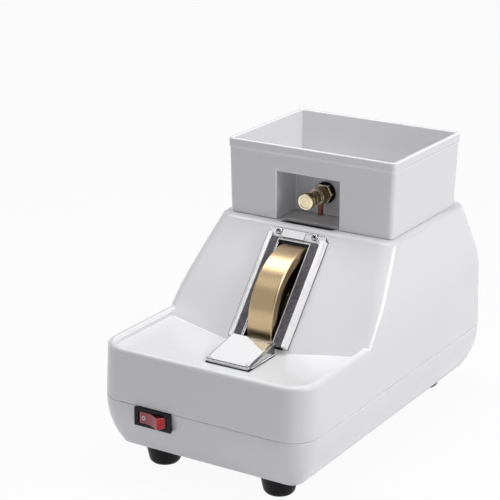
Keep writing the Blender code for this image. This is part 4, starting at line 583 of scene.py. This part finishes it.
def screw_head(node, out, head_height, recess_depth, finish=None):
    """A domed pan head with a skirt and a cross recess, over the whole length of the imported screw."""
    vertices = [Vector(vertex.co) for vertex in NODES[node].data.vertices]
    levels = [vertex.dot(out) for vertex in vertices]
    top, bottom = max(levels), min(levels)
    head = [vertex for vertex, level in zip(vertices, levels) if level > top - head_height / 2]
    centre = sum(head, Vector()) / len(head)
    centre -= out * centre.dot(out)
    radius = max((vertex - centre - out * vertex.dot(out)).length for vertex in head)
    seat = top - head_height
    skirt_top = seat + SCREW_SKIRT_HEIGHT
    profile = [(bottom, 0.0), (bottom, radius * SCREW_SHANK), (seat, radius * SCREW_SHANK),
               (seat, radius * SCREW_SKIRT), (skirt_top, radius * SCREW_SKIRT), (skirt_top, radius),
               (top - head_height * SCREW_SHOULDER, radius), (top, radius * SCREW_CROWN), (top, 0.0)]
    profile = eased(profile, head_height * SCREW_EASE)
    piece = turned(node + "_fine", centre, out, profile, SCREW_STEPS)
    arm = radius * SCREW_ARM
    half = radius * SCREW_ARM_HALF
    across = out.orthogonal().normalized()
    other = out.cross(across)
    for first, second in ((arm, half), (half, arm)):
        outline = [(-first, -second), (first, -second), (first, second), (-first, second)]
        tool = extruded("recess", outline, top - recess_depth, top + recess_depth,
                        lambda u, v, w: centre + across * u + other * v + out * w)
        carved(piece, tool)
    stand_for(piece, node, finish)
    # The recess and the skirt take a second material, black rubber unless a finish is given: painted
    # shade in the cross recess, and a dark ring round the head's foot
    piece.data.materials.append(finish or MATERIALS["rubber"])
    for face in piece.data.polygons:
        offset = face.center - centre
        level = offset.dot(out)
        apart = (offset - out * level).length
        in_recess = apart < arm and level < top - SCREW_FACE_GAP
        on_skirt = apart > radius * SCREW_OUTSIDE
        face.material_index = int(in_recess or on_skirt)


def rocker_outline(reach_left, reach_right, tip_out, back):
    """The rocker from above: flat at the off mark, then a hollow curve up to the raised end."""
    face = ROCKER_FLUSH
    flat_end = reach_left * ROCKER_FLAT_SHARE
    tip = reach_right * ROCKER_TIP_SHARE
    outline = [(reach_left, -face * ROCKER_CAP_DROP), (reach_left * ROCKER_CAP_SHARE, -face),
               (flat_end, -face)]
    for step in range(1, ROCKER_CURVE_STEPS + 1):
        share = step / ROCKER_CURVE_STEPS
        rise = (tip_out + face) * share ** ROCKER_CURVE_POWER
        outline.append((flat_end + (tip - flat_end) * share, rise - face))
    outline.append((reach_right * ROCKER_END_SHARE, -face * ROCKER_END_DROP))
    for side, depth in ROCKER_BACK:
        reach = reach_right if side > 0 else -reach_left
        outline.append((reach * side, back * depth))
    return outline


def rocker():
    """The red rocker: painted sheen on its flat cap, painted shade above and below, painted highlights on
    its rounded edges, with the mark for off.
    """
    pivot = Vector(JOINTS["switch_rock"]["pos_m"])
    low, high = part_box("switch_rocker")
    reach_left = low[0] - pivot.x
    outline = rocker_outline(reach_left, high[0] - pivot.x, low[1] - pivot.y, high[1] - pivot.y)
    piece = extruded("switch_rocker_fine", outline, low[2], high[2],
                     lambda u, v, w: Vector((pivot.x + u, pivot.y + v, w)))
    edges = edges_rounded(piece, ROCKER_EDGE)
    # Its rounded edges take a pale red: painted highlights
    edges.material = ROCKER_HIGHLIGHT_SLOT
    stand_for(piece, "switch_rocker")
    for finish in (PAINTED_SHADE_RED, PAINTED_SHEEN_RED, RED_HIGHLIGHT):
        piece.data.materials.append(finish)
    for side in piece.data.polygons:
        # Faces above and below get the dark red of painted shade
        if abs(side.normal.z) > FACING:
            side.material_index = ROCKER_PAINTED_SHADE_SLOT
        # Faces in front not turned to the right get the pinkish red of a painted sheen
        elif side.normal.y < 0 and side.normal.x < ROCKER_SHEEN_TURN:
            side.material_index = ROCKER_SHEEN_SLOT
    place = (pivot.x + reach_left * ROCKER_MARK_SHARE, pivot.y - ROCKER_FLUSH, (low[2] + high[2]) / 2)
    profile = [(0.0, MARK_INNER), (MARK_PROUD, MARK_INNER), (MARK_PROUD, MARK_OUTER), (0.0, MARK_OUTER),
               (0.0, MARK_INNER)]
    added(turned("off_mark", place, -REARWARD, profile), MARK_WHITE, "switch_rocker")


def rest_slope():
    """How much the rest's sheet rises for each metre towards the rear."""
    low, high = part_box("rest_label")
    return (high[2] - low[2]) / (high[1] - low[1])


def rest_label():
    """The white sheet, brought down to the rest's front edge and with its cut corner made wider."""
    piece = refined("rest_label", SHEET_EDGE)
    low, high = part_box("rest_label")
    rest_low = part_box("front_rest")[0]
    slope = rest_slope()
    reach = low[1] - rest_low[1] - SHEET_FRONT_GAP
    for vertex in piece.data.vertices:
        if vertex.co.y < low[1] + AT_EDGE:
            vertex.co.y -= reach
            vertex.co.z -= reach * slope
        if vertex.co.y > high[1] - AT_EDGE and vertex.co.x > 0:
            vertex.co.x -= SHEET_CUT_SHIFT
        elif vertex.co.x > high[0] - AT_EDGE and vertex.co.y > low[1] + AT_EDGE:
            vertex.co.y += SHEET_CUT_RISE
            vertex.co.z += SHEET_CUT_RISE * slope


def rest_seal():
    """The dark seal under the rest, thinner by the white tape on it."""
    seal_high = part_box("rest_seal")[1]
    seal = refined("rest_seal", SHEET_EDGE)
    for vertex in seal.data.vertices:
        if vertex.co.z > seal_high[2] - AT_EDGE / 2:
            vertex.co.z -= TAPE_THICKNESS


def rest_tape():
    """White tape that shows through the rest's walls: below them and along its front."""
    low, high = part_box("front_rest")
    label_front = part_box("rest_label")[0][1]
    seal_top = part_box("rest_seal")[1][2]
    strips = []
    for x_low, x_high, y_high in ((low[0], high[0], label_front),
                                  (low[0], low[0] + REST_WALL, high[1]),
                                  (high[0] - REST_WALL, high[0], high[1])):
        strips.append(box_between((x_low, low[1] + AT_EDGE / 2, seal_top - TAPE_THICKNESS),
                                  (x_high, y_high, seal_top)))
    strips.append(box_between(
        (low[0] + TAPE_SIDE_GAP, low[1] - TAPE_FRONT_OUT, low[2] + TAPE_FRONT_LOW),
        (high[0] - TAPE_SIDE_GAP, low[1] - TAPE_FRONT_GAP, low[2] + TAPE_FRONT_HIGH)))
    loose("rest_tape", strips, MATERIALS["label"], "rest_label")


def rest_shade_strip():
    """A dark strip of black rubber behind the sheet, where the rest meets the slope: painted shade."""
    low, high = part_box("rest_label")
    rest_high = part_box("front_rest")[1]
    seal_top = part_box("rest_seal")[1][2]
    wiper = box_between((low[0], rest_high[1] - SHADE_STRIP_FRONT, seal_top),
                        (high[0], rest_high[1] - SHADE_STRIP_BACK, rest_high[2] - SHADE_STRIP_BELOW_TOP))
    loose("rest_shade_strip", [wiper], MATERIALS["rubber"], "rest_seal")


def rest_pad():
    """A three-cornered tan pad under the rest's clear corner, level with the sheet's slope."""
    low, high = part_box("rest_label")
    slope = rest_slope()
    back = high[1] - PAD_BACK_GAP
    right = high[0] - REST_WALL
    front = low[1] + (high[1] - low[1]) * PAD_CORNER_SHARE
    base = low[2] - PAD_BELOW_SHEET
    pad = extruded("rest_pad", [(PAD_CORNER_X, back), (right, front), (right, back)], 0.0, PAD_THICKNESS,
                   lambda u, v, w: Vector((u, v, base + (v - low[1]) * slope + w)))
    added(pad, SPONGE, "rest_label")


def guard_normal():
    """The direction square to the sloping face, from the largest flat face of the guard's label."""
    label = NODES["guard_label"].data
    largest = max(label.polygons, key=lambda face: face.area)
    normal = largest.normal.copy()
    return normal if normal.z > 0 else -normal


class GuardPlate:
    """The guard's edges in its own directions: across it, along the slope and out from the slope."""

    def __init__(self):
        self.out = guard_normal()
        self.across = RIGHTWARD
        self.along = self.out.cross(self.across)
        corners = [Vector(vertex.co) for vertex in NODES["splash_guard"].data.vertices]
        self.foot = min(corner.dot(self.along) for corner in corners)
        self.head = max(corner.dot(self.along) for corner in corners)
        self.base = min(corner.dot(self.out) for corner in corners)
        self.top = max(corner.dot(self.out) for corner in corners)
        self.half = max(corner.x for corner in corners)
        # Where the slot and the window end, and the spans that the painted lines on the plate take up
        self.slot_head = self.head - GUARD_SLOT_INSET
        self.window_head = self.head - WINDOW_INSET
        self.on_top = (self.top, self.top + LINE_PROUD)
        self.side_span = (self.foot, self.head - GUARD_CORNER_CUT)
        self.end_span = (GUARD_CORNER_CUT - self.half, self.half - GUARD_CORNER_CUT)

    def bar(self, across, along, level):
        """A bar between two places in each direction, as a matrix for a unit cube."""
        spans = (across, along, level)
        size = Vector([high - low for low, high in spans])
        axes = (self.across, self.along, self.out)
        centre = sum((axis * (low + high) / 2 for axis, (low, high) in zip(axes, spans)), Vector())
        turn = Matrix(axes).transposed()
        return Matrix.LocRotScale(centre, turn.to_quaternion(), size)


def guard_painted_highlights(guard):
    """White lines along the cut edges of the slot and of the plate: painted highlights."""
    slot = GUARD_SLOT_HALF
    line = HIGHLIGHT_LINE
    left = SHADE_LINE - guard.half
    head = guard.head - SHADE_LINE
    lines = [
        guard.bar((-slot - line, -slot), (guard.foot, guard.slot_head), guard.on_top),
        guard.bar((slot, slot + line), (guard.foot, guard.slot_head), guard.on_top),
        guard.bar((-slot - line, slot + line), (guard.slot_head, guard.slot_head + line), guard.on_top),
        guard.bar((left, left + line), guard.side_span, guard.on_top),
        guard.bar((guard.half - line, guard.half), guard.side_span, guard.on_top),
        guard.bar(guard.end_span, (head - line, head), guard.on_top),
    ]
    loose("guard_painted_highlights", lines, MATERIALS["label"], "splash_guard")


def guard_shade_lines(guard):
    """Thin dark lines round the plate and round the label on it: painted shade."""
    thin = SHADE_LINE
    at_base = (guard.base, guard.base + LINE_PROUD)
    corners = [Vector(vertex.co) for vertex in NODES["guard_label"].data.vertices]
    left = min(corner.x for corner in corners)
    right = max(corner.x for corner in corners)
    low = min(corner.dot(guard.along) for corner in corners)
    high = max(corner.dot(guard.along) for corner in corners)
    lines = [
        guard.bar((-guard.half, thin - guard.half), guard.side_span, guard.on_top),
        guard.bar((guard.half, guard.half + thin), guard.side_span, at_base),
        guard.bar(guard.end_span, (guard.head - thin, guard.head), guard.on_top),
        guard.bar((left - thin, left), (low, high), guard.on_top),
        guard.bar((right, right + thin), (low, high), guard.on_top),
        guard.bar((left, right), (high, high + thin), guard.on_top),
        guard.bar((left, right), (low - thin, low), guard.on_top),
    ]
    loose("guard_shade_lines", lines, SHADE_GREY, "splash_guard")


def window_shade_sheets(guard):
    """Dark sheets on the sides of the window in the slope, seen through the guard: painted shade."""
    skin = SHADE_SHEET_THICKNESS
    edge = WINDOW_HALF - skin
    head = guard.window_head
    level = (guard.base - SHADE_SHEET_DEPTH, guard.top - SHADE_SHEET_DEPTH - skin)
    sides = [
        guard.bar((-edge, skin - edge), (guard.foot, head), level),
        guard.bar((edge - skin, edge), (guard.foot, head), level),
        guard.bar((-edge, edge), (head - skin * 2, head - skin), level),
    ]
    loose("window_shade_sheets", sides, SHADE_GREY, "upper_shell")


def guard_shade_film(guard):
    """A dark film on the guard at both sides of its slot, as wide as the window below: painted shade of
    the window seen through it.
    """
    inner = GUARD_SLOT_HALF + HIGHLIGHT_LINE
    outer = WINDOW_HALF - SHADE_SHEET_THICKNESS
    along = (guard.foot, guard.window_head)
    level = (guard.top + SHADE_FILM_LOW, guard.top + SHADE_FILM_HIGH)
    film = [guard.bar((-outer, -inner), along, level), guard.bar((inner, outer), along, level)]
    loose("guard_shade_film", film, SHADE_GREY, "splash_guard")


def guard_shade_lip(guard):
    """A dark bar in black rubber at the upper end of the slot: painted shade."""
    lip = guard.bar((-GUARD_SLOT_HALF, GUARD_SLOT_HALF), (guard.slot_head - SHADE_LIP_WIDTH, guard.slot_head),
                    (guard.top - SHADE_LIP_BASE_GAP, guard.top - SHADE_LIP_TOP_GAP))
    loose("guard_shade_lip", [lip], MATERIALS["rubber"], "splash_guard")


def guard_cores(guard):
    """White cores inside the guard's side beams, which look white through their clear skin."""
    inner = WINDOW_HALF + CORE_GAP
    outer = guard.half - CORE_GAP
    along = (guard.foot + CORE_GAP, guard.head - CORE_HEAD_GAP)
    level = (guard.base + CORE_GAP, guard.top - CORE_GAP)
    cores = [guard.bar((-outer, -inner), along, level), guard.bar((inner, outer), along, level)]
    loose("guard_cores", cores, MATERIALS["label"], "splash_guard")


def foot(node):
    """A tapered rubber foot with a hollow in its sole, an eased edge and a collar at its top."""
    low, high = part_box(node)
    centre = ((low[0] + high[0]) / 2, (low[1] + high[1]) / 2, low[2])
    height = high[2] - low[2]
    top_radius = (high[0] - low[0]) / 2
    base_radius = top_radius * FOOT_BASE_SHARE
    ease = height * FOOT_EASE
    recess_height = height * FOOT_RECESS_HEIGHT
    recess_radius = base_radius * FOOT_RECESS_RADIUS
    profile = [(recess_height, 0.0), (recess_height, recess_radius), (0.0, recess_radius),
               (0.0, base_radius - ease / 2), (ease / 2, base_radius), (height * FOOT_COLLAR, top_radius),
               (height, top_radius), (height, 0.0)]
    profile = eased(profile, ease * FOOT_CORNER_EASE, steps=6)
    stand_for(turned(node + "_fine", centre, UP, profile, FOOT_STEPS), node)


def dress_nodes():
    """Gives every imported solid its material, and puts the finer pieces in the visible ones' places."""
    for name, node in NODES.items():
        if node.type != "MESH":
            continue
        node.data.materials.clear()
        node.data.materials.append(MATERIALS[SLOT_OF[name]])
    for name, edge_round in EDGE_ROUNDS_MM.items():
        refined(name, edge_round * MM)
    valve_knob()
    rocker()
    for make in (rest_label, rest_seal, rest_tape, rest_shade_strip, rest_pad):
        make()
    guard = GuardPlate()
    for make in (guard_painted_highlights, guard_shade_lines, window_shade_sheets, guard_shade_film, guard_shade_lip, guard_cores):
        make(guard)
    for side in ("left", "right"):
        screw_head("guard_screw_" + side, guard.out, GUARD_SCREW_HEAD, GUARD_SCREW_RECESS)
    for side in ("left", "right"):
        screw_head("rest_screw_" + side, UP, REST_SCREW_HEAD, REST_SCREW_RECESS, MATERIALS["label"])
    for place in ("front_left", "front_right", "rear_left", "rear_right"):
        foot("foot_" + place)


def add_camera():
    data = bpy.data.cameras.new("camera")
    data.lens = CAMERA_LENS
    data.sensor_width = CAMERA_SENSOR
    data.clip_end = CAMERA_REACH
    camera = bpy.data.objects.new("camera", data)
    place = Vector(CAMERA_PLACE)
    back = (place - Vector(CAMERA_TARGET)).normalized()
    level = Vector((-back.y, back.x, 0.0)).normalized()
    upright = back.cross(level)
    right = level * math.cos(CAMERA_ROLL) + upright * math.sin(CAMERA_ROLL)
    top = upright * math.cos(CAMERA_ROLL) - level * math.sin(CAMERA_ROLL)
    camera.matrix_world = Matrix((
        (right.x, top.x, back.x, place.x),
        (right.y, top.y, back.y, place.y),
        (right.z, top.z, back.z, place.z),
        (0.0, 0.0, 0.0, 1.0),
    ))
    bpy.context.collection.objects.link(camera)
    bpy.context.scene.camera = camera


def add_lamp(name, place, target, size, power):
    data = bpy.data.lights.new(name, "AREA")
    data.shape = "RECTANGLE"
    data.size, data.size_y = size
    data.energy = power
    lamp = bpy.data.objects.new(name, data)
    lamp.location = place
    lamp.rotation_euler = (Vector(target) - Vector(place)).to_track_quat("-Z", "Y").to_euler()
    bpy.context.collection.objects.link(lamp)


def floor_material():
    """A pale floor that the camera, gloss and glass see as nearly plain white, and that keeps shadows."""
    made = Shader("floor")
    made.set(Base_Color=FLOOR_COLOUR, Roughness=FLOOR_ROUGHNESS)
    path = made.node("ShaderNodeLightPath")
    seen = path.outputs["Is Camera Ray"]
    for kind in ("Is Glossy Ray", "Is Transmission Ray"):
        either = made.node("ShaderNodeMath", operation="MAXIMUM")
        made.link(seen, either.inputs[0])
        made.link(path.outputs[kind], either.inputs[1])
        seen = either.outputs["Value"]
    share = made.node("ShaderNodeMath", operation="MULTIPLY")
    share.inputs[1].default_value = FLOOR_WHITE_SHARE
    made.link(seen, share.inputs[0])
    white = made.node("ShaderNodeEmission")
    made.mixed(share.outputs["Value"], white.outputs["Emission"])
    return made.material


def add_floor():
    mesh = bpy.data.meshes.new("floor")
    reach = FLOOR_REACH
    corners = [(-reach, -reach, 0), (reach, -reach, 0), (reach, reach, 0), (-reach, reach, 0)]
    mesh.from_pydata(corners, [], [(0, 1, 2, 3)])
    mesh.materials.append(floor_material())
    object_from("floor", mesh)


def add_world():
    """A world that is white near the horizon and dim above it."""
    world = bpy.data.worlds.new("studio")
    world.use_nodes = True
    nodes = world.node_tree.nodes
    links = world.node_tree.links
    background = nodes["Background"]
    background.inputs["Color"].default_value = WORLD_COLOUR
    direction = nodes.new("ShaderNodeTexCoord")
    split = nodes.new("ShaderNodeSeparateXYZ")
    links.new(direction.outputs["Generated"], split.inputs["Vector"])
    fade = nodes.new("ShaderNodeMapRange")
    fade.inputs["From Min"].default_value = HORIZON_LOW
    fade.inputs["From Max"].default_value = HORIZON_HIGH
    fade.inputs["To Min"].default_value = HORIZON_LIGHT
    fade.inputs["To Max"].default_value = SKY_LIGHT
    links.new(split.outputs["Z"], fade.inputs["Value"])
    links.new(fade.outputs["Result"], background.inputs["Strength"])
    bpy.context.scene.world = world


dress_nodes()
add_camera()
add_floor()
add_world()
for lamp_values in LAMPS:
    add_lamp(*lamp_values)
bpy.context.scene.view_settings.view_transform = "Standard"
bpy.context.view_layer.update()
